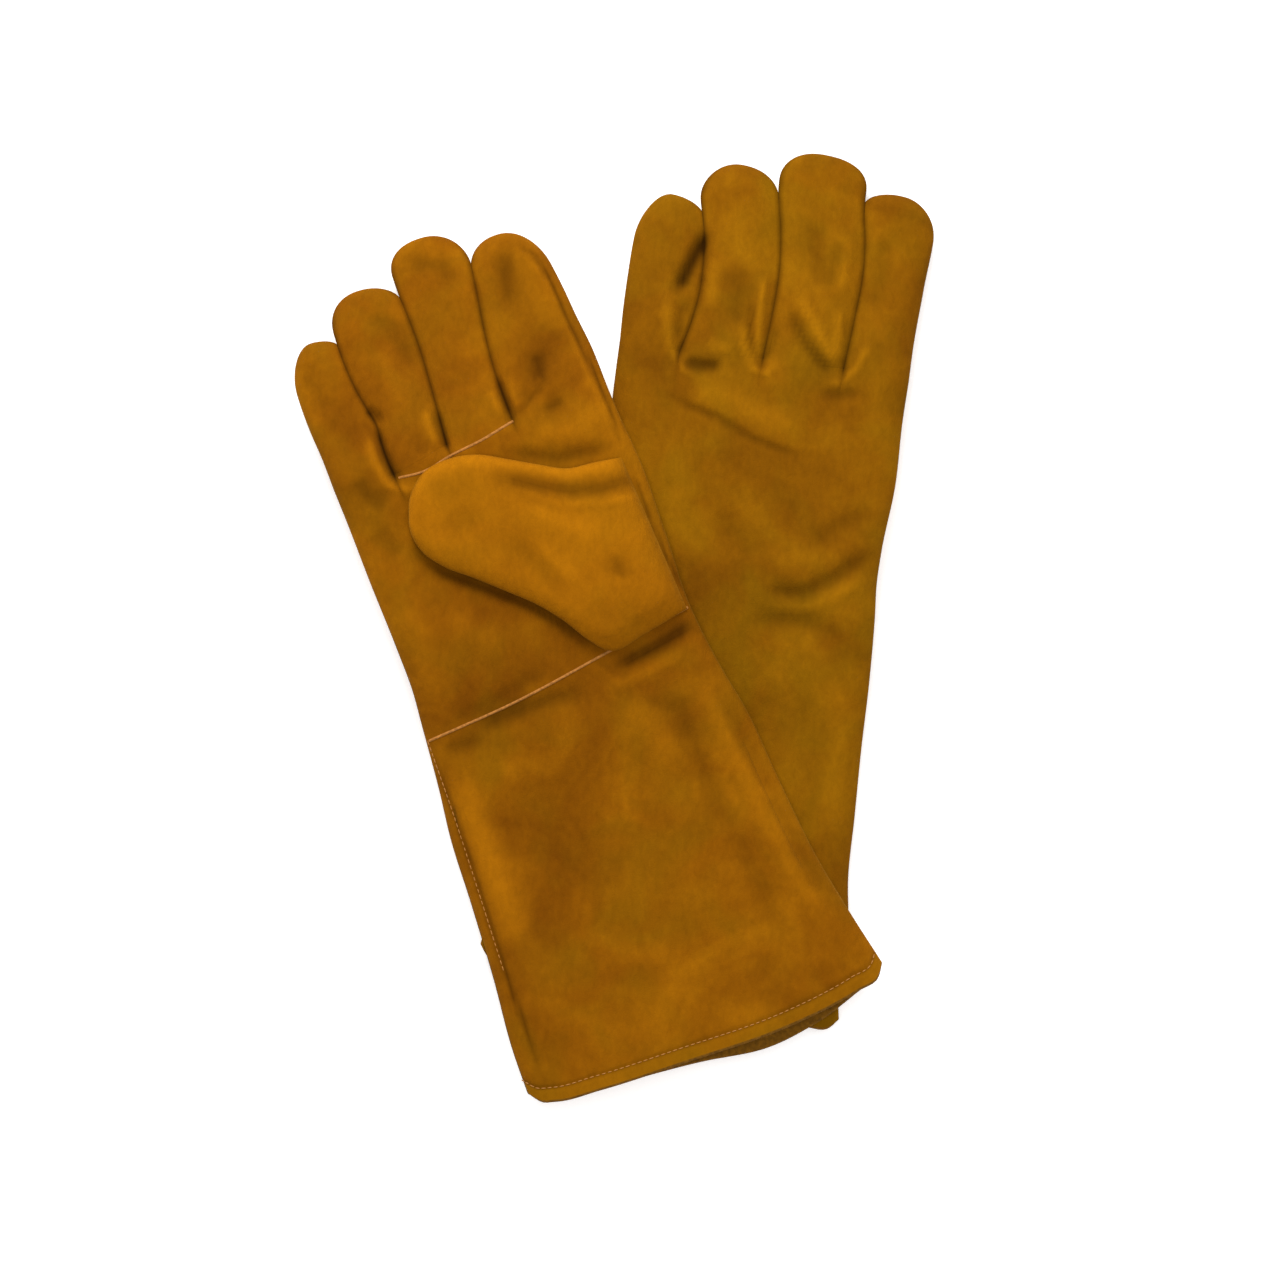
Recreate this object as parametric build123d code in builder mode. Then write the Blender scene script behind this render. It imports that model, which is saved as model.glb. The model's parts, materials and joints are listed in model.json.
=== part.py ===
"""A pair of long leather gauntlet welding gloves, lying one across the other.

The left glove lies on the surface with the back of its hand up and its thumb folded under its palm.
The right glove lies across it, palm up, with its thumb folded over the palm. Both are made of the
same pieces: a one-piece back, a palm, a cuff front, fingers with a back, a front, a side wall and a
lining each, a wing thumb, welts in the seams, a turned hem and linings in the hand and the cuff.

Each glove is drawn in a frame of its own. Its origin is the middle of the wrist, u runs across the
hand towards the thumb side and v along the hand towards the fingertips. Heights are measured from
the surface that the pair lies on.
"""

import os
from math import cos, radians, sin

from build123d import *

# Leather, lining and clearances
LEATHER = 1.2            # split leather
LINING = 1.0             # fleece in the hand, canvas in the cuff
FIT = 0.1                # leather to lining
HINGE_GAP = 0.2          # from the knuckle line to the leather each side of it
FINGER_GAP = 1.6         # between neighbouring fingers
LAYER_GAP = 0.4          # between one layer of glove and the next

# Lengths along a glove
CUFF_LENGTH = 195.0      # wrist to hem
HAND_LENGTH = 118.0      # wrist to knuckle line
FINGER_LENGTHS = {"pinky": 70.0, "ring": 88.0, "middle": 100.0, "index": 91.0}
WRIST_SLANT = 13.0       # how far the wrist seam rises from its middle to the thumb side
HEM_DEPTH = 14.0         # leather turned in at the cuff's mouth

# Thicknesses of the relaxed glove, leather to leather
CUFF_THICKNESS = 13.0
HAND_THICKNESS = 14.0
FINGERTIP_THICKNESS = 12.0
THUMB_THICKNESS = 10.2

# Where the flat cuff starts to rise, and where each hand is level, along the glove
RISE_START = -60.0
LEFT_LEVEL_START = 8.0
RIGHT_LEVEL_START = 30.0

# The wing thumb, folded across the palm
THUMB_TIP_BELOW_KNUCKLES = 30.0
THUMB_TIP = (-25.0, HAND_LENGTH - THUMB_TIP_BELOW_KNUCKLES)
THUMB_TIP_RADIUS = 23.0
THUMB_HEEL = (28.0, 11.0)
THUMB_ROOT_LOW = 18.0
THUMB_ROOT_BELOW_KNUCKLES = 28.0
THUMB_ROOT_HIGH = HAND_LENGTH - THUMB_ROOT_BELOW_KNUCKLES
THUMB_EDGE_INSET = 0.6
THUMB_HOLE = (38.0, 52.0)
THUMB_HOLE_RADIUS = 15.0

# Welts: strips of leather caught in the seams, standing on the palm side
WELT_WIDTH = 2.4
WELT_HEIGHT = 1.4
FINGER_WELT_BACK = 3.0   # from the knuckle line to the middle of the welt below the fingers

TIP_ROUNDING = 0.46      # of a fingertip's width
FINGERS = list(FINGER_LENGTHS)
REACH = 400.0            # longer than a glove, for cutting right through


def u_on_line(start, end, v):
    """u at v on the line through two points (u, v)."""
    return start[0] + (v - start[1]) / (end[1] - start[1]) * (end[0] - start[0])


class Glove:
    """The plan and the heights of one glove."""

    def __init__(self, side, turn, knuckle_place, palm_up, wrist_edges, hem_corners, knuckles, tips):
        self.side = side
        self.palm_up = palm_up
        self.wrist_edges = wrist_edges      # u of the left and right edge at the wrist
        self.hem_corners = hem_corners      # (u, v) of the hem's left and right corner
        self.knuckles = knuckles            # u of the five finger edges at the knuckle line
        self.tips = tips                    # u of the five finger edges at the fingertips
        self.turn = turn
        self.place(knuckle_place)

    def place(self, knuckle_place):
        """Set the planes that this glove is drawn on, from where the middle of its knuckle line lies."""
        turn = radians(self.turn)
        across = (cos(turn), sin(turn), 0)
        along = (-sin(turn), cos(turn), 0)
        self.knuckle_place = knuckle_place
        wrist = [k - HAND_LENGTH * a for k, a in zip(knuckle_place, along)]
        self.plan = Plane(origin=(*wrist, 0), x_dir=across, z_dir=(0, 0, 1))
        self.profile = Plane(origin=(*wrist, 0), x_dir=along, z_dir=across)

    def set_heights(self, hem, level, level_start, fingertip):
        """List (v, lowest, highest) along the glove, from the height of its hem and of its hand."""
        last = HAND_LENGTH + max(FINGER_LENGTHS.values())
        self.heights = [
            (-REACH, hem, hem + CUFF_THICKNESS),
            (RISE_START, hem, hem + CUFF_THICKNESS),
            (level_start, level, level + HAND_THICKNESS),
            (HAND_LENGTH, level, level + HAND_THICKNESS),
            (last, fingertip, fingertip + FINGERTIP_THICKNESS),
        ]

    def height_at(self, v):
        """The lowest and the highest height of the glove at v."""
        for (v0, low0, high0), (v1, low1, high1) in zip(self.heights, self.heights[1:]):
            if v <= v1:
                share = (v - v0) / (v1 - v0)
                return low0 + share * (low1 - low0), high0 + share * (high1 - high0)
        return self.heights[-1][1:]

    def surface(self, face, depth, v_low, v_high):
        """Points (v, height) at a depth under the front (palm) or the back face."""
        inner = [v for v, _, _ in self.heights if v_low < v < v_high]
        on_top = (face == "front") == self.palm_up
        points = []
        for v in [v_low, *inner, v_high]:
            low, high = self.height_at(v)
            points.append((v, high - depth if on_top else low + depth))
        return points

    def edge_u(self, side, v):
        """u of the hand's left (0) or right (1) edge at v, between wrist and knuckles."""
        wrist_v = -WRIST_SLANT if side == 0 else WRIST_SLANT
        knuckle = self.knuckles[0] if side == 0 else self.knuckles[-1]
        return u_on_line((self.wrist_edges[side], wrist_v), (knuckle, HAND_LENGTH), v)

    def cuff_edge_u(self, side, v):
        """u of the cuff's left (0) or right (1) edge at v, from the hem to the wrist."""
        wrist_v = -WRIST_SLANT if side == 0 else WRIST_SLANT
        return u_on_line((self.wrist_edges[side], wrist_v), self.hem_corners[side], v)

    def hand_outline(self, inset=0.0, past=0.0):
        """Plan of the hand from the wrist seam to the knuckle line, or past it."""
        left, right = self.wrist_edges
        top = HAND_LENGTH - HINGE_GAP + past
        return [
            (left + inset, -WRIST_SLANT),
            (right - inset, WRIST_SLANT),
            (self.edge_u(1, top) - inset, top),
            (self.edge_u(0, top) + inset, top),
        ]

    def cuff_outline(self, inset=0.0, past=0.0):
        """Plan of the cuff from the hem, or past it, to the wrist seam."""
        left, right = self.wrist_edges
        low_left = self.hem_corners[0][1] - past
        low_right = self.hem_corners[1][1] - past
        return [
            (self.cuff_edge_u(0, low_left) + inset, low_left),
            (self.cuff_edge_u(1, low_right) - inset, low_right),
            (right - inset, WRIST_SLANT),
            (left + inset, -WRIST_SLANT),
        ]

    def body_outline(self, inset=0.0, past=0.0):
        """Plan of cuff and hand together."""
        cuff = self.cuff_outline(inset, past)
        hand = self.hand_outline(inset, past)
        return [cuff[0], cuff[1], hand[1], hand[2], hand[3], hand[0]]


def draw_outline(points):
    """Fill a closed outline in the open sketch."""
    Polygon(*points, align=None)


def draw_finger(glove, finger, inset=0.0, past=0.0):
    """Fill a finger's plan in the open sketch, rounded at the tip."""
    place = FINGERS.index(finger)
    side = FINGER_GAP / 2 + inset
    full_length = HAND_LENGTH + FINGER_LENGTHS[finger]
    base = HAND_LENGTH + HINGE_GAP - past
    tip = full_length - inset

    def edge(number, v):
        return u_on_line((glove.knuckles[number], HAND_LENGTH), (glove.tips[number], full_length), v)

    corners = [
        (edge(place, base) + side, base),
        (edge(place + 1, base) - side, base),
        (edge(place + 1, tip) - side, tip),
        (edge(place, tip) + side, tip),
    ]
    with BuildSketch(mode=Mode.PRIVATE) as plan:
        Polygon(*corners, align=None)
        ends = plan.vertices().group_by(Axis.Y)[-1]
        fillet(ends, radius=TIP_ROUNDING * (corners[2][0] - corners[3][0]))
    add(plan.sketch)


def draw_thumb(glove, inset=0.0):
    """Fill the folded thumb's plan in the open sketch: its tip, its heel and its root."""
    root_low = glove.edge_u(1, THUMB_ROOT_LOW) - THUMB_EDGE_INSET
    root_high = glove.edge_u(1, THUMB_ROOT_HIGH) - THUMB_EDGE_INSET
    with BuildSketch(mode=Mode.PRIVATE) as plan:
        with Locations(THUMB_TIP):
            Circle(THUMB_TIP_RADIUS)
        draw_outline([THUMB_TIP, THUMB_HEEL, (root_low, THUMB_ROOT_LOW), (root_high, THUMB_ROOT_HIGH)])
        make_hull()
        if inset:
            offset(amount=-inset, kind=Kind.INTERSECTION, mode=Mode.REPLACE)
    add(plan.sketch)


def slab(glove, draw, near, far, v_low=-REACH, v_high=REACH):
    """A plan cut to the band between two surfaces, each given as (face, depth)."""
    v_high = min(v_high, glove.heights[-1][0])
    edge = glove.surface(*near, v_low, v_high) + glove.surface(*far, v_low, v_high)[::-1]
    with BuildPart() as body:
        with BuildSketch(glove.plan):
            draw()
        extrude(amount=REACH)
        with BuildSketch(glove.profile):
            draw_outline(edge)
        extrude(amount=REACH, both=True, mode=Mode.INTERSECT)
    return body.part


def thumb_slab(glove, draw, low, high):
    """A plan cut to the level band between two heights."""
    with BuildPart() as body:
        with BuildSketch(glove.plan.offset(low)):
            draw()
        extrude(amount=high - low)
    return body.part


def without(solid, cut, holes=()):
    """A solid less another one, and less the shapes in holes."""
    with BuildPart() as body:
        add(solid)
        for piece in [cut, *holes]:
            add(piece, mode=Mode.SUBTRACT)
    return body.part


def save(name, solid):
    """Label a finished piece and write it."""
    solid.label = name
    export_step(solid, f"parts/{name}.step")


def thumb_hole(glove):
    """The hole that the thumb opens into the hand by, as a cutter."""
    with BuildPart() as body:
        with BuildSketch(glove.plan):
            with Locations(THUMB_HOLE):
                Circle(THUMB_HOLE_RADIUS)
        extrude(amount=REACH)
    return body.part


def make_back(glove):
    """The back, one piece from hem to knuckles, turned up along both sides to meet the front."""
    whole = slab(glove, lambda: draw_outline(glove.body_outline()), ("back", 0), ("front", LEATHER))
    inner = glove.body_outline(LEATHER, past=HEM_DEPTH)
    pocket = slab(glove, lambda: draw_outline(inner), ("back", LEATHER), ("front", 0))
    save(f"{glove.side}_back", without(whole, pocket))


def make_fronts(glove):
    """The palm, with the thumb's hole, and the cuff front below the wrist seam."""
    band = ("front", 0), ("front", LEATHER)
    palm = slab(glove, lambda: draw_outline(glove.hand_outline()), *band)
    save(f"{glove.side}_palm", without(palm, thumb_hole(glove)))
    cuff = slab(glove, lambda: draw_outline(glove.cuff_outline()), *band)
    save(f"{glove.side}_cuff_front", cuff)


def make_welts(glove):
    """The welt in the wrist seam, and the one below the ring and middle fingers."""
    left, right = glove.wrist_edges
    half = WELT_WIDTH / 2
    band = ("front", 0), ("front", -WELT_HEIGHT)
    wrist = [
        (left, -WRIST_SLANT - half),
        (right, WRIST_SLANT - half),
        (right, WRIST_SLANT + half),
        (left, -WRIST_SLANT + half),
    ]
    save(f"{glove.side}_wrist_welt", slab(glove, lambda: draw_outline(wrist), *band))
    low = HAND_LENGTH - FINGER_WELT_BACK - half
    start, end = glove.knuckles[1], glove.knuckles[3]
    fingers = [(start, low), (end, low), (end, low + WELT_WIDTH), (start, low + WELT_WIDTH)]
    save(f"{glove.side}_finger_welt", slab(glove, lambda: draw_outline(fingers), *band))


def sleeve(glove, outline, outer, wall, v_low, v_high):
    """A flat tube, open at both ends, lying a depth inside the leather."""
    inner = outer + wall
    whole = slab(glove, lambda: draw_outline(outline(outer)),
                 ("back", outer), ("front", outer), v_low, v_high)
    core = slab(glove, lambda: draw_outline(outline(inner, past=HEM_DEPTH)),
                ("back", inner), ("front", inner))
    return whole, core


def make_linings(glove):
    """The leather turned in at the hem, the canvas above it and the fleece in the hand."""
    depth = LEATHER + FIT
    lowest_hem = max(corner[1] for corner in glove.hem_corners) + HEM_DEPTH
    hem = sleeve(glove, glove.cuff_outline, depth, LEATHER, -REACH, lowest_hem)
    save(f"{glove.side}_hem", without(*hem))
    cuff = sleeve(glove, glove.body_outline, depth, LINING, lowest_hem + FIT, -WRIST_SLANT)
    save(f"{glove.side}_cuff_lining", without(*cuff))
    hand = sleeve(glove, glove.body_outline, depth, LINING, FIT - WRIST_SLANT, HAND_LENGTH - HINGE_GAP)
    front_cut = slab(glove, lambda: draw_hole(), ("front", 0), ("front", HAND_THICKNESS / 2))
    save(f"{glove.side}_hand_lining", without(*hand, holes=[front_cut]))


def draw_hole():
    """Fill the thumb hole's plan in the open sketch."""
    with Locations(THUMB_HOLE):
        Circle(THUMB_HOLE_RADIUS)


def make_fingers(glove):
    """Each finger's back, front, side wall and lining, beyond the knuckle line."""
    depth = LEATHER + FIT
    inner = depth + LINING
    for finger in FINGERS:
        name = f"{glove.side}_{finger}"

        def plan(inset=0.0, past=0.0, finger=finger):
            return lambda: draw_finger(glove, finger, inset, past)

        save(f"{name}_back", slab(glove, plan(), ("back", 0), ("back", LEATHER)))
        save(f"{name}_front", slab(glove, plan(), ("front", 0), ("front", LEATHER)))
        wall = slab(glove, plan(), ("back", LEATHER), ("front", LEATHER))
        save(f"{name}_side_wall", without(wall, slab(glove, plan(LEATHER, 1), ("back", 0), ("front", 0))))
        lining = slab(glove, plan(depth), ("back", depth), ("front", depth))
        core = slab(glove, plan(inner, 1), ("back", inner), ("front", inner))
        save(f"{name}_lining", without(lining, core))


def thumb_levels(glove):
    """The thumb's lowest and highest height: over a palm that faces up, under one that faces down."""
    low, high = glove.height_at(HAND_LENGTH)
    if glove.palm_up:
        return high + LAYER_GAP, high + LAYER_GAP + THUMB_THICKNESS
    return low - LAYER_GAP - THUMB_THICKNESS, low - LAYER_GAP


def make_thumb(glove):
    """The wing thumb: an outer piece with its sides, an inner piece at the palm, and a lining."""
    low, high = thumb_levels(glove)
    depth = LEATHER + FIT
    inner = depth + LINING
    hole = thumb_hole(glove)
    whole = thumb_slab(glove, lambda: draw_thumb(glove), low, high)
    if glove.palm_up:
        plate = (low, low + LEATHER)
        pocket = (low, high - LEATHER)
    else:
        plate = (high - LEATHER, high)
        pocket = (low + LEATHER, high)
    plate_solid = thumb_slab(glove, lambda: draw_thumb(glove), *plate)
    pocket_solid = thumb_slab(glove, lambda: draw_thumb(glove, LEATHER), *pocket)
    save(f"{glove.side}_thumb_outer", without(whole, plate_solid, holes=[pocket_solid]))
    save(f"{glove.side}_thumb_inner", without(plate_solid, hole))
    lining = thumb_slab(glove, lambda: draw_thumb(glove, depth), low + depth, high - depth)
    core = thumb_slab(glove, lambda: draw_thumb(glove, inner), low + inner, high - inner)
    mouth = (low, low + inner) if glove.palm_up else (high - inner, high)
    mouth_solid = thumb_slab(glove, draw_hole, *mouth)
    save(f"{glove.side}_thumb_lining", without(lining, core, holes=[mouth_solid]))


def plan_box(gloves):
    """The box around both gloves' plans."""
    with BuildPart() as plans:
        for glove in gloves:
            with BuildSketch(glove.plan):
                draw_outline(glove.body_outline())
                for finger in FINGERS:
                    draw_finger(glove, finger)
            extrude(amount=1)
    return plans.part.bounding_box()


LEFT = Glove(
    "left", turn=-11.9, knuckle_place=(0, 0), palm_up=False,
    wrist_edges=(-76, 61), hem_corners=((-92, -CUFF_LENGTH), (87, -CUFF_LENGTH)),
    knuckles=(-84, -57, -17, 22, 55), tips=(-88, -60, -24.5, 16.5, 51),
)
RIGHT = Glove(
    "right", turn=16.6, knuckle_place=(-147.143, -38.982), palm_up=True,
    wrist_edges=(-69, 69), hem_corners=((-73, -CUFF_LENGTH), (108, 12 - CUFF_LENGTH)),
    knuckles=(-76, -51, -21.5, 12, 60), tips=(-82, -57, -22.5, 13.5, 49),
)
GLOVES = (LEFT, RIGHT)

# The pair's box is centred over the origin
whole_box = plan_box(GLOVES)
middle = whole_box.center()
for pair_glove in GLOVES:
    x, y = pair_glove.knuckle_place
    pair_glove.place((x - middle.X, y - middle.Y))

# The left glove rests on the surface, on its thumb, and the right glove rests on it
left_level = THUMB_THICKNESS + LAYER_GAP
LEFT.set_heights(0.0, left_level, LEFT_LEVEL_START, LAYER_GAP)
RIGHT.set_heights(
    CUFF_THICKNESS + LAYER_GAP, left_level + HAND_THICKNESS + LAYER_GAP, RIGHT_LEVEL_START, LAYER_GAP
)

os.makedirs("parts", exist_ok=True)
for pair_glove in GLOVES:
    make_back(pair_glove)
    make_fronts(pair_glove)
    make_welts(pair_glove)
    make_linings(pair_glove)
    make_thumb(pair_glove)
    make_fingers(pair_glove)
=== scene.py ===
"""A pair of long leather gauntlet welding gloves, lying one across the other.

The file follows the gloves as they are sewn: backs, palms and cuff fronts, fingers, thumbs, hems,
linings, welts and thread. Lengths are in millimetres on the glove and in metres in the scene.
"""

import json
import math

import bpy
import numpy as np
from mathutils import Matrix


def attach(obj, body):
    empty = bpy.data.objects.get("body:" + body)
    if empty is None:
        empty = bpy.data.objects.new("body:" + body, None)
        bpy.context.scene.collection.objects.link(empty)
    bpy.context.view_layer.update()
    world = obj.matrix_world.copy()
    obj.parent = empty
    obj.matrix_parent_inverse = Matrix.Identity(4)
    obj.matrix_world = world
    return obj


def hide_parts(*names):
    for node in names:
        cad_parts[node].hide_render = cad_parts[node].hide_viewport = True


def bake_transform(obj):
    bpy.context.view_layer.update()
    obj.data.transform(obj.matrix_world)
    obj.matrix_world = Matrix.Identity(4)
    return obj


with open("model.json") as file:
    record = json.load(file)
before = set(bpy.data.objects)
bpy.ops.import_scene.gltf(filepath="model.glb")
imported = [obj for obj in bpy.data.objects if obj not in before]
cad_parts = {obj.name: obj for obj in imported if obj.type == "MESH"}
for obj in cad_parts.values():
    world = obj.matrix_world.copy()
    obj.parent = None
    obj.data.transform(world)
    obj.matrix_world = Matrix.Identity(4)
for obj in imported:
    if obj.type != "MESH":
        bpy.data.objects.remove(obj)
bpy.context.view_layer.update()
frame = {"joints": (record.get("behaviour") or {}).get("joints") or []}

# ---------------------------------------------------------------------------------------------
# The table, the light and the camera.
# The pair lies on a pale table top under one wide soft lamp beyond the fingertips and a bright
# room. The camera looks straight down from far above.
# ---------------------------------------------------------------------------------------------
MM = 0.001
CAMERA_PLACE = (0.0120, -0.0058, 4.0)
CAMERA_WIDTH_SEEN = 0.6164
SENSOR_WIDTH = 36.0
GLOVE_LEVEL = 0.02


def put_in(name, data):
    """A new object in the scene."""
    made = bpy.data.objects.new(name, data)
    bpy.context.scene.collection.objects.link(made)
    return made


def new_finish(name, values):
    """A new material with the given shader values; returns it with its node tree and its shader."""
    finish = bpy.data.materials.new(name)
    finish.use_nodes = True
    shader = finish.node_tree.nodes["Principled BSDF"]
    for socket, value in values.items():
        shader.inputs[socket].default_value = value
    return finish, finish.node_tree, shader


camera = put_in("camera", bpy.data.cameras.new("camera"))
camera.location = CAMERA_PLACE
camera.data.sensor_width = SENSOR_WIDTH
camera.data.lens = SENSOR_WIDTH * (CAMERA_PLACE[2] - GLOVE_LEVEL) / CAMERA_WIDTH_SEEN
camera.data.clip_end = 100.0
bpy.context.scene.camera = camera
bpy.context.scene.view_settings.view_transform = "Standard"


def hang_lamp(name, place, aim, size, watts, colour):
    """A square soft lamp at a place, turned towards the point that it aims at."""
    lamp = bpy.data.lights.new(name, "AREA")
    lamp.size, lamp.energy, lamp.color = size, watts, colour
    holder = put_in(name, lamp)
    holder.location = place
    towards = np.array(aim) - np.array(place)
    flat = math.hypot(towards[0], towards[1])
    turn = math.atan2(-towards[0], towards[1])
    holder.rotation_euler = (math.atan2(flat, -towards[2]), 0, turn)


hang_lamp("window_lamp", (-0.35, 1.5, 1.25), (0, 0, 0), 1.0, 42.0, (1.0, 0.985, 0.96))
hang_lamp("ceiling_lamp", (0.3, -0.2, 2.4), (0, 0, 0), 1.6, 24.0, (1.0, 1.0, 1.0))

room = bpy.data.worlds.new("room")
room.use_nodes = True
room_light = room.node_tree.nodes["Background"].inputs
room_light["Color"].default_value = (1, 1, 1, 1)
room_light["Strength"].default_value = 0.45
bpy.context.scene.world = room

TABLE_REACH = 4.0
TABLE_LEVEL = -0.0004    # just below the gloves
table_mesh = bpy.data.meshes.new("table_top")
corners = [(x * TABLE_REACH, y * TABLE_REACH, TABLE_LEVEL)
           for x, y in ((-1, -1), (1, -1), (1, 1), (-1, 1))]
table_mesh.from_pydata(corners, [], [(0, 1, 2, 3)])
table_top = put_in("table_top", table_mesh)
table_paint, _, _ = new_finish("pale_table", {
    "Base Color": (0.93, 0.93, 0.93, 1), "Roughness": 0.9,
    "Emission Color": (1, 1, 1, 1), "Emission Strength": 0.4})
table_mesh.materials.append(table_paint)

# ---------------------------------------------------------------------------------------------
# The backs.
# Each back is one piece of napped split leather from the hem to the roots of the fingers, 1.2 mm
# thick, turned up round both sides and sewn to the front a finger's breadth inside the edge.
# ---------------------------------------------------------------------------------------------
LEATHER = 1.2
FINGERS = ("pinky", "ring", "middle", "index")
FINGER_COLUMNS = 24
HAND_COLUMNS = FINGER_COLUMNS * len(FINGERS)
CUFF_ROWS, HAND_ROWS = 110, 100
ROW_CROWDING = 1.3, 1.15     # above 1, rows stand closer at the hem and at the knuckles
KNUCKLE_LINE = 118.0     # from the wrist to the hinges of the fingers
SLACK = 0.4              # that the soft glove keeps clear of its neighbour
EDGE_ROLL = 17.0         # how far the leather takes to roll over at the sides
LEVEL_SOFTNESS = 9.0     # how far to both sides the glove's height is evened out
VALLEY_REACH = 10.0      # how far the valleys between the fingers run on into the hand
VALLEY_FLOOR = 0.36      # how high neighbouring fingers touch, as a share of their half thickness
TURNED_COLUMNS = 6       # columns of the front that the turned-up back takes at each side
HEM_BAND = 6.2           # from the cuff's mouth up to the line of stitches
# The groove's darkness is painted shade
GROOVE_DEPTH, GROOVE_WIDTH, GROOVE_PAINTED_SHADE = 0.5, 1.2, 0.3     # where the stitches pull it in
BAND_FADE = 1.5          # over which the olive of the hem's band fades out
BAND_OLIVE, BAND_RUBBED = 0.5, 0.2
HANG_SHARE = 0.4         # of the cuff, in which its rear side hangs out
SIDE_REACH = 9.0         # how near the sides the inner face also moves in sideways
LEAST_LEFT = 0.3         # of a thin place, that the inner face keeps from the middle
DENT_WAVES, DENT_LENGTHS = 14, (22, 75)
DENT_FLATNESS = 1300     # how much longer than high the waves of the dents are
DENT_TOP = 0.3
DENT_SEEDS = {"left": 8, "right": 7, "underside": 21, "thumb": 51}
FOLD_ENDS = 4            # a fold fades out over this part (one fourth) of its length at both ends
# Painted shade down between the fingers: how dark, from what share over it starts, how fast it
# grows
CREASE_PAINTED_SHADE, CREASE_START, CREASE_POWER = 0.75, 0.84, 1.6   # between fingers, from share over
RIDGE_PAINTED_HIGHLIGHT = 3.2       # how much brighter a ridge's painted highlight is than its negative shade

GLOVES = {
    "left": {
        "palm_up": False,
        "left_edge": [(-197, -92), (-120, -84), (-60, -79), (-13, -76.5), (40, -79), (90, -84),
                      (110, -85.5)],
        "right_edge": [(-197, 87.5), (-181, 83.5), (-141, 80), (-125, 76.5), (-93, 73), (-61, 69.5),
                       (-29, 66.5), (3, 62.5), (19, 60), (35, 59), (67, 59), (99, 56), (118, 55)],
        "hem": [(0, -190), (0.02, -193.5), (0.07, -195.5), (0.3, -197), (0.6, -197), (0.9, -196),
                (0.975, -194), (1, -190)],
        "rear_hang": [(0, 0), (1, 0)],
        "wrist": [(0, -13), (0.5, 0), (1, 13)],
        "crotches": [(-85.5, 109), (-56, 109), (-16, 114), (23, 117), (55, 117)],
        "levels": [(-260, 0.0, 13.0), (-60, 0.0, 13.0), (8, 10.6, 24.6), (118, 10.6, 24.6),
                   (218, 0.4, 12.4)],
        "palm_middle": 2.5,
        "flatness": 2.0,     # of the fingers: 2 is round, more is flatter
    },
    "right": {
        "palm_up": True,
        "left_edge": [(-197, -73), (-165, -74.5), (-133, -73.5), (-93, -73.5), (-61, -74),
                      (-37, -72.5), (-5, -71.5), (11, -71), (35, -72.5), (67, -75.5), (99, -78),
                      (118, -79.8)],
        "right_edge": [(-197, 113), (-180, 108.6), (-150, 100), (-123, 93), (-80, 85.6),
                       (-41, 79.8), (-20, 74.5), (2, 70), (12, 68.5), (50, 67), (89, 65),
                       (110, 62), (124, 60.5)],
        "hem": [(0, -189), (0.02, -193.2), (0.06, -195.6), (0.18, -196.5), (0.41, -195.5),
                (0.7, -193), (0.91, -186), (0.975, -182.4), (1, -177.5)],
        "rear_hang": [(0, 0), (0.28, 0.3), (0.46, 2.6), (0.62, 6.0), (0.78, 4.0), (0.92, 0.4),
                      (1, 0)],
        "wrist": [(0, -13), (0.32, -7), (0.68, 3.5), (1, 13)],
        "crotches": [(-79.8, 116), (-50, 114), (-21.6, 121), (12, 124), (60.5, 124)],
        "levels": [(-260, 13.4, 26.4), (-60, 13.4, 26.4), (30, 25.0, 39.0), (118, 25.0, 39.0),
                   (218, 0.4, 12.4)],
        "palm_middle": -4.75,
        "flatness": 3.0,
    },
}
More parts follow.
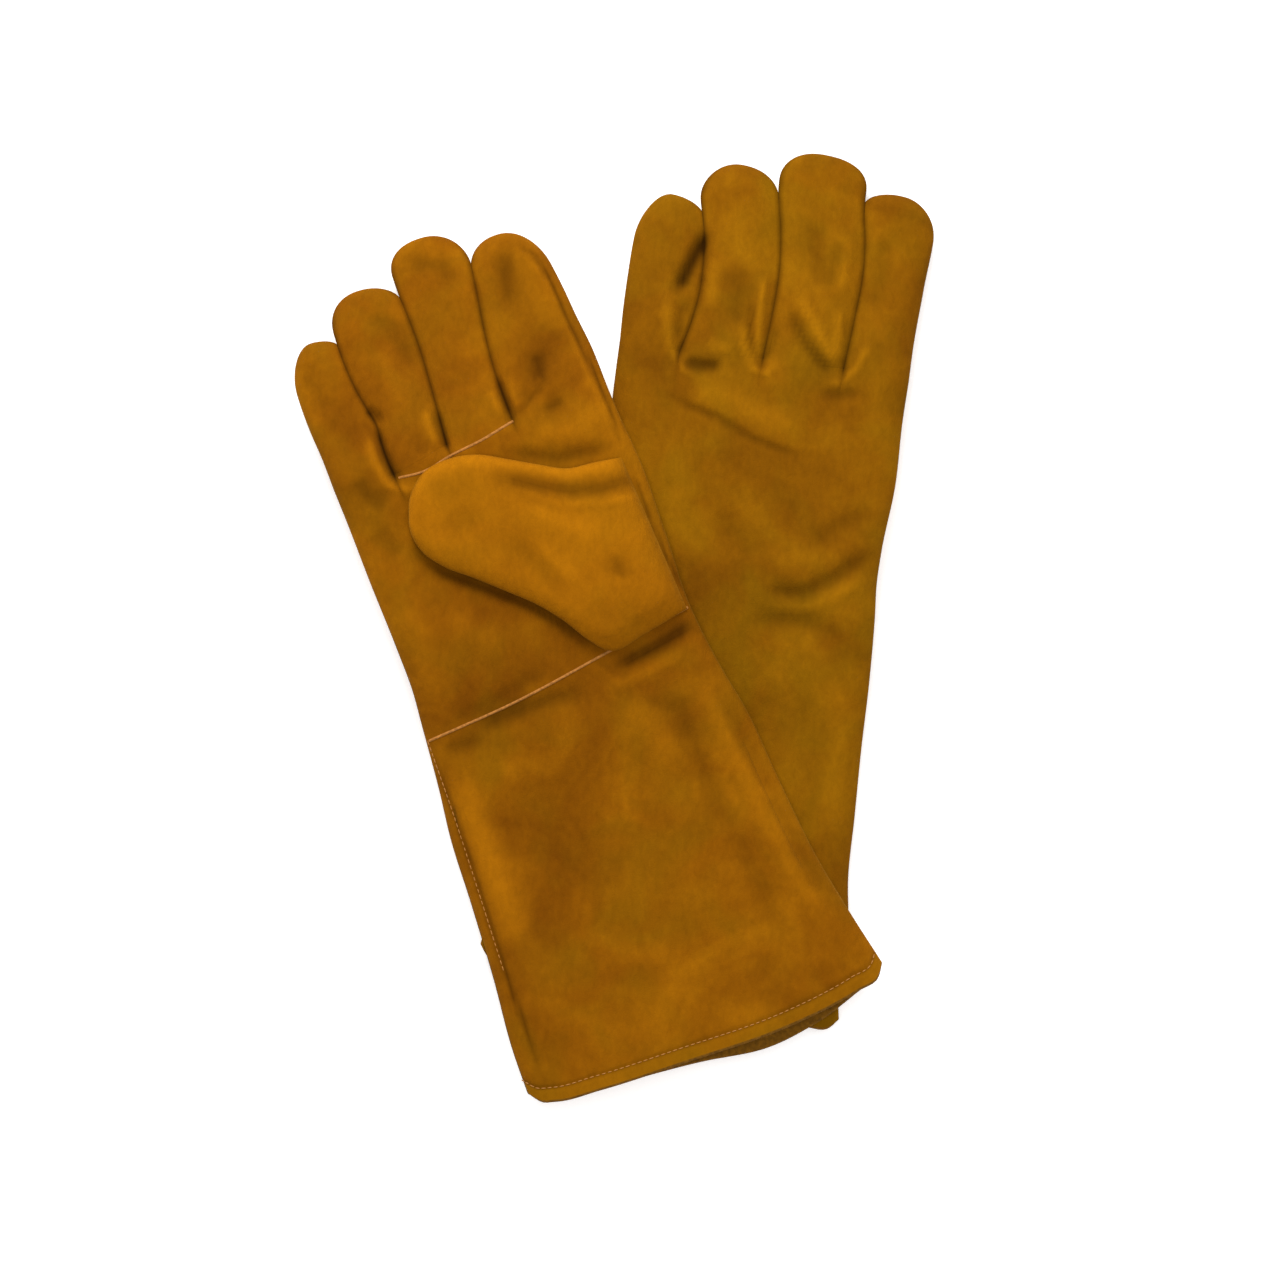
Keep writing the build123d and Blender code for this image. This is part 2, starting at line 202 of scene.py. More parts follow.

# Folds pressed into the upper side of each glove: depth (a ridge is positive), half width,
# painted shade in it (a negative value is a painted highlight), and the line it follows across (u)
# and along (v) the glove
FOLDS = {
    "left": [
        # Across the back of the hand and the wrist
        (-1.2, 2.0, 0.3, [(-63, 90), (-48, 84), (-31, 81), (-14, 75), (2, 72), (18, 70)]),
        (1.0, 7.0, -0.13, [(-50, 100), (-38, 93), (-14, 86), (14, 84)]),
        (-1.2, 6.0, 0.22, [(-26, 37), (-11, 28), (4, 18)]),
        (-1.2, 5.0, 0.22, [(20, 26), (35, 40), (52, 56)]),
        (-2.2, 4.5, 0.45, [(4, 4), (26, 7), (41, 19), (58, 36)]),
        (1.2, 4.0, -0.08, [(4, -3), (26, -1), (43, 10), (59, 24)]),
        (-1.4, 5.0, 0.3, [(2, -9), (27, -6), (55, -10)]),
        (1.0, 7.0, -0.08, [(6, 17), (20, 24), (34, 26)]),
        (-0.8, 8.0, 0.14, [(30, -30), (44, -60), (50, -110)]),
        (0.6, 9.0, -0.1, [(52, -20), (58, -60), (62, -110)]),
        # Round the root of the pinky
        (-3.6, 3.2, 0.9, [(-55, 170), (-57, 160), (-60, 149), (-64, 134)]),
        (1.2, 2.4, -0.14, [(-68, 140), (-66, 124), (-61, 111), (-53, 101), (-40, 97)]),
        (-1.2, 2.0, 0.3, [(-59, 134), (-59, 122), (-57, 113)]),
        (-2.4, 3.2, 0.62, [(-54, 105), (-45, 104), (-34, 106.5)]),
        (1.1, 4.0, -0.14, [(-47, 160), (-48, 146), (-46, 130)]),
        (0.8, 3.0, -0.1, [(-46, 116), (-38, 114), (-30, 117)]),
        (-1.0, 5.0, 0.26, [(-36, 156), (-33, 138), (-33, 124)]),
        # Round the root of the ring finger
        (1.3, 2.0, -0.2, [(-24, 156), (-22, 134), (-20, 120), (-16, 112)]),
        (-1.4, 1.6, 0.32, [(-26.5, 140), (-25, 126), (-20, 114)]),
        (1.3, 2.2, -0.16, [(-30, 138), (-27, 120), (-20, 108), (-13, 107), (-9, 116)]),
        (-1.2, 1.6, 0.3, [(-12, 132), (-13, 120), (-15, 113)]),
        # Round the root of the middle finger
        (-2.2, 3.0, 0.55, [(-9, 141), (0, 128), (11, 118), (20, 112)]),
        (1.5, 2.6, -0.2, [(-8, 148), (5, 134), (15, 122), (21, 114)]),
        (1.3, 2.2, -0.18, [(15, 146), (17, 132), (20, 119)]),
        (1.2, 2.2, -0.16, [(33, 134), (29, 119), (22, 109.5), (15, 110)]),
        (-1.4, 3.0, 0.34, [(14, 104), (23, 103), (33, 108)]),
        (-1.4, 5.0, 0.28, [(-7, 188), (-1, 170), (5, 150)]),
        (1.1, 3.0, -0.1, [(12, 184), (13, 166), (14, 148)]),
        (-1.0, 3.0, 0.3, [(8, 178), (9, 164), (8, 150)]),
        (-1.0, 5.0, 0.3, [(29, 186), (31, 166), (30, 144)]),
    ],
    "right": [
        # Below the wrist seam and down the cuff
        (-2.1, 3.6, 0.75, [(22, -5), (45, -1.5), (62, 3), (72, 4)]),
        (0.9, 3.0, -0.1, [(16, -14), (40, -12), (64, -6)]),
        (-1.5, 4.5, 0.45, [(-52, -15), (-30, -12), (-10, -11), (14, -12)]),
        (-0.8, 4.0, 0.25, [(-60, -9), (-28, -2), (-2, 4)]),
        (-1.0, 4.0, 0.3, [(-66, -19), (-56, -20), (-44, -19)]),
        (-1.3, 5.0, 0.3, [(36, -16), (49, -34), (52, -60), (56, -100)]),
        (-1.1, 5.0, 0.22, [(56, -84), (62, -120), (66, -160)]),
        (1.2, 5.0, -0.15, [(58, -14), (66, -40), (74, -84), (82, -130), (94, -160)]),
        (0.5, 7.0, -0.16, [(-62, -20), (-61, -60), (-58, -100), (-52, -132)]),
        (0.4, 9.0, -0.1, [(20, -24), (34, -34), (44, -60)]),
        (-0.9, 5.0, 0.2, [(66, -16), (74, -50), (82, -96), (92, -150)]),
        (-0.8, 12.0, 0.14, [(-30, -40), (-28, -70), (-10, -96), (14, -80)]),
        (0.7, 9.0, -0.06, [(-56, -30), (-57, -70), (-52, -110)]),
        # The seam of the turned-up edge, down the cuff and up the index finger
        (-1.1, 1.3, 0.6, [(-70.5, -8), (-69.5, -40), (-68, -83), (-67.2, -128), (-65.5, -160),
                          (-64.5, -195)]),
        (-0.9, 1.1, 0.55, [(33, 210), (45, 197), (49, 182), (51, 165), (53.5, 150), (56, 135),
                           (58.5, 117), (58.5, 102), (57, 88)]),
        (0.5, 1.8, -0.1, [(30, 207), (42, 195), (46, 182), (48, 165), (50.5, 150), (53, 135),
                          (55.5, 117), (55.5, 102)]),
        # Beside and under the thumb
        # The first line here is a painted shadow on the palm under the thumb's lower edge
        (-0.7, 3.0, 0.6, [(24, 2.5), (16, 11), (7, 22), (-3, 33.3), (-15, 43), (-28.5, 53),
                          (-41, 62.5), (-49, 72.5), (-52.5, 84)]),
        (-0.8, 1.1, 0.5, [(58.5, 92), (61, 70), (63.7, 41), (69, 12)]),
        (-1.4, 3.6, 0.42, [(58, 96), (42, 98), (28, 99), (14, 105), (0, 112)]),
        (0.8, 5.0, -0.1, [(50, 108), (34, 110), (20, 114)]),
        (-0.9, 5.0, 0.25, [(-66, 92), (-62, 84), (-58, 74)]),
        (0.7, 7.0, -0.05, [(-62, 60), (-60, 30), (-62, 2)]),
        (0.8, 6.0, -0.06, [(-22, 16), (-34, 30), (-46, 44)]),
        # Round the roots of the fingers
        (-2.4, 2.4, 0.5, [(-54, 149), (-50, 143), (-46, 144)]),
        (-2.2, 2.0, 0.45, [(-51.5, 140), (-51.5, 126), (-50, 115), (-44, 110)]),
        (1.2, 2.6, -0.16, [(-57, 140), (-57, 122), (-54, 110), (-44, 104), (-34, 107)]),
        (-1.2, 5.0, 0.36, [(-70, 118), (-64, 108), (-56, 99)]),
        (-1.8, 2.2, 0.4, [(-21.5, 140), (-22, 126), (-22, 117)]),
        (-1.6, 2.0, 0.36, [(11, 146), (11.3, 134), (12, 124)]),
        (1.0, 2.4, -0.14, [(16, 144), (16, 132), (19, 125)]),
        (1.0, 2.4, -0.14, [(6, 142), (7, 132), (10, 126)]),
        (1.0, 2.4, -0.14, [(-27, 142), (-27, 128), (-25, 120)]),
        (-1.0, 1.6, 0.3, [(12, 124), (20, 128.5), (29, 134), (35, 140)]),
        (-1.6, 3.4, 0.36, [(33, 152), (31, 143), (29, 136)]),
        (-1.5, 3.6, 0.45, [(26, 123), (32, 124), (40, 126)]),
        (0.9, 3.0, -0.06, [(26, 132), (34, 136), (42, 144)]),
        (-1.1, 5.0, 0.3, [(31, 206), (28, 190), (25, 172)]),
        (-1.0, 5.0, 0.3, [(-18, 209), (-2, 206), (7, 194)]),
        (-1.0, 4.5, 0.3, [(-44, 194), (-32, 185), (-28, 172), (-26, 156)]),
        (0.9, 5.0, -0.05, [(-40, 176), (-38, 158), (-36, 140)]),
        (-0.8, 5.0, 0.2, [(-73, 180), (-76, 166), (-72, 150)]),
        (-0.2, 9.0, 0.12, [(-72, 176), (-68, 150), (-66, 126)]),
        (-0.4, 13.0, 0.3, [(33, 216), (32, 180), (32, 146), (30, 120)]),
        (-0.2, 12.0, 0.1, [(-4, 210), (-6, 170), (-6, 130)]),
        (-0.8, 4.0, 0.2, [(-36, 132), (-33, 124), (-34, 118)]),
    ],
}


def smooth_line(points, at):
    """A smooth curve through (position, value) points, read at the given positions."""
    x, y = np.array(points, float).T
    slope = np.gradient(y, x)
    at = np.clip(at, x[0], x[-1])
    k = np.clip(np.searchsorted(x, at) - 1, 0, len(x) - 2)
    span = x[k + 1] - x[k]
    t = (at - x[k]) / span
    return (
        (2 * t**3 - 3 * t**2 + 1) * y[k] + (t**3 - 2 * t**2 + t) * span * slope[k]
        + (3 * t**2 - 2 * t**3) * y[k + 1] + (t**3 - t**2) * span * slope[k + 1]
    )


def lay_out(side):
    """Find a glove's own axes from its middle finger's hinge, as the frame gives them."""
    hinge = next(j for j in frame["joints"] if j["name"] == f"{side}_middle_bend")
    glove, across = GLOVES[side], np.array(hinge["axis"], float)
    along = np.cross((0, 0, 1), across)
    glove["across"], glove["along"] = across, along
    start = np.array(hinge["pos_m"], float) / MM - across * glove["palm_middle"]
    glove["origin"] = (start - along * KNUCKLE_LINE) * (1, 1, 0)


def to_scene(glove, u, v, z):
    """Points in the scene from places across and along a glove and heights, all in millimetres."""
    u, v, z = (np.asarray(a, float)[..., None] for a in np.broadcast_arrays(u, v, z))
    flat = glove["origin"] + u * glove["across"] + v * glove["along"]
    return (flat + z * np.array((0, 0, 1.0))) * MM


def edges_at(glove, v):
    """u of the left and the right edge of cuff and hand at v."""
    return smooth_line(glove["left_edge"], v), smooth_line(glove["right_edge"], v)


def middle_and_half(glove, v):
    """The height of a glove's middle layer at v and half its thickness, softened at the bends."""
    at, *faces = np.array(glove["levels"]).T
    soft = np.linspace(-LEVEL_SOFTNESS, LEVEL_SOFTNESS, 7)
    low, high = (np.mean([np.interp(v + s, at, face) for s in soft], axis=0) for face in faces)
    return (low + high) / 2, (high - low) / 2 - SLACK


def roll(distance, reach):
    """How full the glove is at a distance inside its edge: 0 at the edge, 1 past the reach."""
    return np.sqrt(1 - (1 - np.clip(distance / reach, 0, 1)) ** 2)


def press(strokes, u, v):
    """The height and the painted shade (highlight where negative) that folds along the lines add at
    (u, v).
    """
    height, dark = np.zeros(np.shape(u)), np.zeros(np.shape(u))
    for depth, half_width, shade, line in strokes:
        line = np.array(line, float)
        lengths = np.hypot(*np.diff(line, axis=0).T)
        total, gone = lengths.sum(), 0.0
        best, where = np.full(np.shape(u), np.inf), np.zeros(np.shape(u))
        for (u0, v0), (u1, v1), length in zip(line, line[1:], lengths):
            t = np.clip(((u - u0) * (u1 - u0) + (v - v0) * (v1 - v0)) / length**2, 0, 1)
            far = np.hypot(u - u0 - t * (u1 - u0), v - v0 - t * (v1 - v0))
            near = far < best
            best = np.where(near, far, best)
            where = np.where(near, (gone + t * length) / total, where)
            gone += length
        taper = np.clip(np.minimum(where, 1 - where) * FOLD_ENDS, 0, 1)
        taper = taper * taper * (3 - 2 * taper)
        bump = taper * np.exp(-((best / half_width) ** 2))
        height += depth * bump
        dark += shade * bump
    return height, dark


def dents(u, v, seed):
    """The slow uneven rise and fall of soft leather, in millimetres."""
    draw = np.random.default_rng(seed)
    total = np.zeros(np.shape(u))
    for _ in range(DENT_WAVES):
        angle, wave = draw.uniform(0, math.pi), draw.uniform(*DENT_LENGTHS)
        phase = draw.uniform(0, 2 * math.pi)
        way = u * math.cos(angle) + v * math.sin(angle)
        total += np.sin(way * 2 * math.pi / wave + phase) * wave
    return total / DENT_FLATNESS


def crotch_line(glove):
    """The roots of the fingers, as share across the hand and v."""
    u, v = np.array(glove["crotches"], float).T
    left, right = edges_at(glove, v)
    return (u - left) / (right - left), v


def spread_over(columns):
    """Where columns lie across a tube, from -1 to 1, closer together towards its sides."""
    return -np.cos(np.linspace(0, math.pi, columns + 1))


def hand_shares(glove):
    """Where the columns of the hand lie across it, in shares of its width."""
    roots, _ = crotch_line(glove)
    spread = spread_over(FINGER_COLUMNS)[:-1]
    parts = [(low + high) / 2 + (high - low) / 2 * spread for low, high in zip(roots, roots[1:])]
    return np.append(np.concatenate(parts), roots[-1])


def tube(glove, over, inner):
    """Half the thickness of a finger, from 0 (its middle) to 1 (its side) over, as a share."""
    floor = VALLEY_FLOOR**2 * inner
    return np.sqrt(floor + (1 - floor) * (1 - over ** glove["flatness"]))


def by_the_fingers(glove, u, v):
    """How far over its finger a place of the hand is, if a neighbour is there, and how near."""
    left, right = edges_at(glove, v)
    shares, roots_v = crotch_line(glove)
    share = np.clip((u - left) / (right - left), 0, 1)
    finger = np.clip(np.searchsorted(shares, share, side="right") - 1, 0, len(FINGERS) - 1)
    low, high = shares[finger], shares[finger + 1]
    place = np.clip((share - (low + high) / 2) / ((high - low) / 2), -1, 1)
    inner = 1.0 - (((finger == 0) & (place < 0)) | ((finger == len(FINGERS) - 1) & (place > 0)))
    back_off = np.clip(np.interp(share, shares, roots_v) - v, 0, None)
    return np.abs(place), inner, np.exp(-((back_off / VALLEY_REACH) ** 1.15))


def fullness(glove, u, v):
    """Half the thickness of cuff or hand at (u, v), as a share of the glove's."""
    left, right = edges_at(glove, v)
    whole = roll(np.minimum(u - left, right - u), EDGE_ROLL)
    over, inner, near = by_the_fingers(glove, u, v)
    return whole * (1 - near) + tube(glove, over, inner) * near


def crease_painted_shade(over, inner):
    """Painted shade down between two fingers."""
    down = np.clip((over - CREASE_START) / (1 - CREASE_START), 0, 1)
    return CREASE_PAINTED_SHADE * inner * down**CREASE_POWER


def relief(glove_name, u, v, full):
    """How far folds and dents lift the upper side at (u, v), and the painted shade there."""
    fold, dark = press(FOLDS[glove_name], u, v)
    drop = np.minimum(dents(u, v, DENT_SEEDS[glove_name]), DENT_TOP)
    return (fold + drop) * np.clip(full * 1.2, 0, 1), dark


def upper_face(glove_name, u, v):
    """Height of the upper side of cuff and hand at (u, v), and the painted shade there."""
    glove = GLOVES[glove_name]
    middle, half = middle_and_half(glove, v)
    full = fullness(glove, u, v)
    lift, dark = relief(glove_name, u, v, full)
    return middle + half * full + lift, dark


def closed_ring(upper, lower):
    """Rows that run over the upper side and back over the lower one, with no point twice."""
    return np.hstack([upper, lower[:, -2:0:-1]])


def inward(distance, depth, least=LEAST_LEFT):
    """A distance from the middle made less by a depth, but not below a share of itself."""
    return np.maximum(distance - depth, distance * least)


def shell(glove_name, depth):
    """The rings of points round cuff and hand, row by row, a depth inside the leather."""
    glove = GLOVES[glove_name]
    shares = hand_shares(glove)
    roots, roots_v = crotch_line(glove)
    hem, wrist, hang = (smooth_line(glove[line], shares) for line in ("hem", "wrist", "rear_hang"))
    end = np.interp(shares, roots, roots_v)
    cuff_steps = np.linspace(0, 1, CUFF_ROWS + 1)[:, None] ** ROW_CROWDING[0]
    hand_steps = 1 - (1 - np.linspace(0, 1, HAND_ROWS + 1)[1:, None]) ** ROW_CROWDING[1]
    v = np.vstack([hem + cuff_steps * (wrist - hem), wrist + hand_steps * (end - wrist)])
    rear_v = v.copy()
    rear_v[:CUFF_ROWS + 1] -= hang * np.clip(1 - cuff_steps / HANG_SHARE, 0, 1) ** 2
    upper = layer(glove_name, v, shares, 1, depth)
    lower = layer(glove_name, rear_v, shares, -1, depth)
    return tuple(closed_ring(a, b) for a, b in zip(upper, lower))


def layer(glove_name, v, shares, face, depth):
    """u, v, height and painted shade of the upper (1) or lower (-1) layer of cuff and hand."""
    glove = GLOVES[glove_name]
    left, right = edges_at(glove, v)
    u = left + shares * (right - left)
    middle, half = middle_and_half(glove, v)
    if face > 0:
        height, dark = upper_face(glove_name, u, v)
        rise = height - middle
    else:
        full = fullness(glove, u, v)
        uneven = dents(u, v, DENT_SEEDS["underside"]).clip(-DENT_TOP, DENT_TOP)
        rise, dark = half * full + uneven * full, np.zeros_like(u)
    groove = np.exp(-(((v - v[:1] - HEM_BAND) / GROOVE_WIDTH) ** 2))
    rise = inward(rise, GROOVE_DEPTH * groove, 0.6)
    # Painted shade in the groove of the hem's stitches
    dark = dark + GROOVE_PAINTED_SHADE * groove
    if depth:
        rise = inward(rise, depth)
        near_left, near_right = (
            np.clip(1 - far / SIDE_REACH, 0, 1) ** 2 for far in (u - left, right - u))
        u = u + depth * (near_left - near_right)
    return u, v, middle + face * rise, dark


def ring_faces(rows, ring):
    """Four-sided faces of a tube of rings, as an array of rows and places round the ring."""
    r, k = np.meshgrid(np.arange(rows - 1), np.arange(ring), indexing="ij")
    after = (k + 1) % ring
    low, high = r * ring, (r + 1) * ring
    return np.stack([low + k, low + after, high + after, high + k], axis=-1)


def cut_piece(name, outside, inside, faces, finish, tone_and_painted_light=None):
    """A piece of leather or cloth: its outer face, its inner face and the cut edge round it."""
    faces = [tuple(f) for f in faces]
    directed = {(f[i], f[(i + 1) % len(f)]) for f in faces for i in range(len(f))}
    rim = [(a, b) for a, b in sorted(directed) if (b, a) not in directed]
    used = np.unique(np.concatenate([np.array(f) for f in faces]))
    place = {old: new for new, old in enumerate(used)}
    count = len(used)
    outer = [tuple(place[i] for i in f) for f in faces]
    inner = [tuple(count + i for i in reversed(f)) for f in outer]
    edge = [(place[b], place[a], place[a] + count, place[b] + count) for a, b in rim]
    mesh = bpy.data.meshes.new(name)
    mesh.from_pydata(np.vstack([outside[used], inside[used]]).tolist(), [], outer + inner + edge)
    mesh.polygons.foreach_set("use_smooth", [True] * len(mesh.polygons))
    mesh.set_sharp_from_angle(angle=math.radians(65))
    # The colour attribute carries painted shade (red), the olive tone (green), and painted
    # highlights with the hem band's lighter nap (blue)
    attribute = mesh.attributes.new("tone_and_painted_light", "FLOAT_COLOR", "POINT")
    values = np.zeros((2 * count, 4), np.float32)
    if tone_and_painted_light is not None:
        values[:count] = tone_and_painted_light[used]
    attribute.data.foreach_set("color", values.ravel())
    mesh.materials.append(finish)
    return put_in(name, mesh)


def node(tree, kind, values=None, **settings):
    """A node with its settings and input values."""
    made = tree.nodes.new(kind)
    for key, value in settings.items():
        setattr(made, key, value)
    for key, value in (values or {}).items():
        made.inputs[key].default_value = value
    return made


def colour_steps(tree, factor, steps):
    """A colour ramp through (position, colour) steps, read at the factor."""
    ramp = node(tree, "ShaderNodeValToRGB")
    band = ramp.color_ramp
    while len(band.elements) < len(steps):
        band.elements.new(0.5)
    for element, (position, colour) in zip(band.elements, steps):
        element.position, element.color = position, (*colour, 1)
    tree.links.new(factor, ramp.inputs["Fac"])
    return ramp.outputs["Color"]


def grain(tree, kind, values, stretch=None, **settings):
    """A texture in the piece's own coordinates, perhaps stretched; returns its output."""
    made = node(tree, kind, values, **settings)
    source = node(tree, "ShaderNodeTexCoord").outputs["Object"]
    if stretch:
        mapping = node(tree, "ShaderNodeMapping", {"Scale": stretch})
        tree.links.new(source, mapping.inputs["Vector"])
        source = mapping.outputs["Vector"]
    tree.links.new(source, made.inputs["Vector"])
    return made.outputs["Fac"]


def raise_surface(tree, shader, height, strength, distance):
    """Give a shader a fine relief."""
    bump = node(tree, "ShaderNodeBump", {"Strength": strength, "Distance": distance})
    tree.links.new(height, bump.inputs["Height"])
    tree.links.new(bump.outputs["Normal"], shader.inputs["Normal"])


def suede(name, deep, middle, bright, olive):
    """Napped split leather: soft blotches where the nap lies differently, painted shade in the
    folds.
    """
    finish, tree, shader = new_finish(name, {
        "Roughness": 0.94, "Specular IOR Level": 0.03, "Sheen Weight": 0.12,
        "Sheen Roughness": 0.4, "Sheen Tint": (1.0, 0.62, 0.08, 1)})
    link = tree.links.new

    def noise(scale, detail, distortion=0.0, stretch=None):
        return grain(tree, "ShaderNodeTexNoise", {
            "Scale": scale, "Detail": detail, "Roughness": 0.6, "Distortion": distortion}, stretch)

    def feed(sockets, values):
        for socket, value in zip(sockets, values):
            if isinstance(value, (int, float)):
                socket.default_value = value
            elif isinstance(value, tuple):
                socket.default_value = (*value, 1)
            else:
                link(value, socket)

    def blend(kind, factor, first, second):
        made = node(tree, "ShaderNodeMix", data_type="RGBA", blend_type=kind)
        feed([made.inputs[i] for i in (0, 6, 7)], (factor, first, second))
        return made.outputs[2]

    def maths(operation, *values, clamp=False):
        made = node(tree, "ShaderNodeMath", operation=operation, use_clamp=clamp)
        feed(made.inputs, values)
        return made.outputs[0]

    clouds = noise(17, 3.0, 0.6)
    patches = noise(52, 4.0, 0.4)
    nap = noise(330, 5.0, 0.3, stretch=(1.0, 0.55, 1.0))
    fibre = noise(1700, 3.0)
    lay = maths("ADD", maths("MULTIPLY", clouds, 0.72), maths("MULTIPLY", patches, 0.28))
    base = colour_steps(tree, lay, [(0.34, deep), (0.5, middle), (0.66, bright)])
    tone_and_painted_light = node(tree, "ShaderNodeAttribute", attribute_name="tone_and_painted_light")
    parts = node(tree, "ShaderNodeSeparateColor")
    link(tone_and_painted_light.outputs["Color"], parts.inputs["Color"])
    olive_clouds = colour_steps(
        tree, noise(26, 2.0, 0.5), [(0.45, (0, 0, 0)), (0.72, (0.5, 0.5, 0.5))])
    green = maths("ADD", parts.outputs["Green"], olive_clouds, clamp=True)
    base = blend("MIX", green, base, olive)
    # Blue brightens towards this colour: painted highlights on ridges and the thumb, and the hem
    # band's lighter nap
    brightened = tuple(min(1.0, c * 1.35) for c in bright)
    base = blend("MIX", parts.outputs["Blue"], base, brightened)
    # Red darkens it: painted shade in folds, between fingers, in the hem's stitch groove and under
    # the thumb
    base = blend("MIX", parts.outputs["Red"], base, tuple(c * 0.16 for c in deep))
    speckle = colour_steps(tree, nap, [(0.25, (0.8, 0.8, 0.8)), (0.75, (1.0, 1.0, 1.0))])
    base = blend("MULTIPLY", 1.0, base, speckle)
    link(base, shader.inputs["Base Color"])
    height = maths("ADD", nap, maths("MULTIPLY", fibre, 0.35))
    raise_surface(tree, shader, height, 0.55, 0.0007)
    return finish


SUEDE = {
    "right": suede("suede_right", deep=(0.165, 0.05, 0.0008), middle=(0.225, 0.073, 0.001),
                   bright=(0.3, 0.105, 0.0014), olive=(0.19, 0.082, 0.001)),
    "left": suede("suede_left", deep=(0.15, 0.05, 0.0008), middle=(0.21, 0.075, 0.001),
                  bright=(0.275, 0.108, 0.0014), olive=(0.18, 0.086, 0.001)),
}


def tone_and_painted_light_colours(dark, olive=0.0, bright=0.0):
    """Per point: painted shade (red), olive where the dye is green (green), painted highlight and
    the hem band's lighter nap (blue).
    """
    dark, olive, bright = np.broadcast_arrays(dark, olive, bright)
    # A ridge's negative shade turns into painted highlight
    bright = bright + np.clip(-dark, 0, 1) * RIDGE_PAINTED_HIGHLIGHT
    flat = [np.clip(a, 0, 1).ravel() for a in (dark, olive, bright)]
    return np.stack([*flat, np.ones_like(flat[0])], axis=-1).astype(np.float32)


def skin_tone_and_painted_light(glove_name, u, v, dark):
    """Painted light and tone of cuff and hand: painted shade between the fingers, olive and lighter
    on the hem's band.
    """
    over, inner, near = by_the_fingers(GLOVES[glove_name], u, v)
    band = np.clip((HEM_BAND + BAND_FADE / 3 - (v - v[:1])) / BAND_FADE, 0, 1)
    dark = dark + crease_painted_shade(over, inner) * near**2
    return tone_and_painted_light_colours(dark, BAND_OLIVE * band, BAND_RUBBED * band)


BODY = {}
for side in GLOVES:
    lay_out(side)
    ring_u, ring_v, ring_z, ring_dark = shell(side, 0.0)
    in_u, in_v, in_z, _ = shell(side, LEATHER)
    rows, ring = ring_u.shape
    BODY[side] = {
        "outside": to_scene(GLOVES[side], ring_u, ring_v, ring_z).reshape(-1, 3),
        "inside": to_scene(GLOVES[side], in_u, in_v, in_z).reshape(-1, 3),
        "faces": ring_faces(rows, ring),
        "tone_and_painted_light": skin_tone_and_painted_light(side, ring_u, ring_v, ring_dark),
        "rings": (rows, ring),
    }
    # Upper faces are the first half of a ring; the front is the upper side where the palm is up
    spot = np.arange(ring)
    upper = (spot >= TURNED_COLUMNS) & (spot < HAND_COLUMNS - TURNED_COLUMNS)
    lower = (spot >= HAND_COLUMNS + TURNED_COLUMNS) & (spot < ring - TURNED_COLUMNS)
    BODY[side]["front_places"] = upper if GLOVES[side]["palm_up"] else lower
    back_faces = BODY[side]["faces"][:, ~BODY[side]["front_places"]].reshape(-1, 4)
    back = cut_piece(f"{side}_back_leather", BODY[side]["outside"], BODY[side]["inside"],
                     back_faces, SUEDE[side], BODY[side]["tone_and_painted_light"])
    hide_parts(f"{side}_back")
    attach(back, f"{side}_hand")

# ---------------------------------------------------------------------------------------------
# The palms and the cuff fronts.
# The front of a glove is two pieces of the same leather: the palm, and the cuff front below the
# seam across the wrist. Both are sewn into the turned-up back along the sides.
# ---------------------------------------------------------------------------------------------
for side in GLOVES:
    body = BODY[side]
    front = body["faces"][:, body["front_places"]]
    for piece_name, rows_kept, replaced in (
        ("palm_leather", slice(CUFF_ROWS, None), "palm"),
        ("cuff_front_leather", slice(None, CUFF_ROWS), "cuff_front"),
    ):
        piece = cut_piece(f"{side}_{piece_name}", body["outside"], body["inside"],
                          front[rows_kept].reshape(-1, 4), SUEDE[side], body["tone_and_painted_light"])
        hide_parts(f"{side}_{replaced}")
        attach(piece, f"{side}_hand")

# ---------------------------------------------------------------------------------------------
# The fingers.
# Each finger is a back, a front and a side wall of the same leather, sewn inside out, so only
# creases show between neighbours. The leather bends softly past the knuckle line.
# ---------------------------------------------------------------------------------------------
FINGER_ROWS = 60
SIDE_COLUMNS = 4
BEND_START = {"left": 119.0, "right": 126.0}
BEND_LENGTH = 25.0
# Lines (v, u) up the sides of the fingers, from the outside of the pinky to that of the index
FINGER_EDGES = {
    "left": [
        [(109, -85.5), (123, -87), (139, -88.2), (155, -89), (183, -88.5)],
        [(109, -56), (124, -53.5), (140, -52.5), (155, -54), (164, -55.5), (174, -58), (183, -61),
         (204, -62)],
        [(114, -16), (135, -16), (157, -17), (177, -20.5), (194, -25), (217, -27)],
        [(117, 23), (143, 23.3), (165, 22.8), (180, 20.5), (194, 17), (217, 15)],
        [(117, 55), (135, 53.7), (163, 53), (195, 52), (205, 50)],
    ],
    "right": [
        [(116, -79.8), (131, -81), (147, -83), (163, -84), (187, -83)],
        [(114, -50), (121, -51), (131, -51.5), (140, -51.5), (146, -53), (158, -56), (172, -58),
         (187, -58.5), (205, -59)],
        [(121, -21.6), (135, -21.3), (152, -21), (168, -21), (184, -22), (195, -23), (221, -24)],
        [(124, 12), (136, 11), (149, 10.4), (166, 11), (188, 13), (202, 14), (221, 13.5)],
        [(124, 60.5), (147, 58.5), (163, 55.8), (179, 53.5), (195, 50.5), (212, 47)],
    ],
}
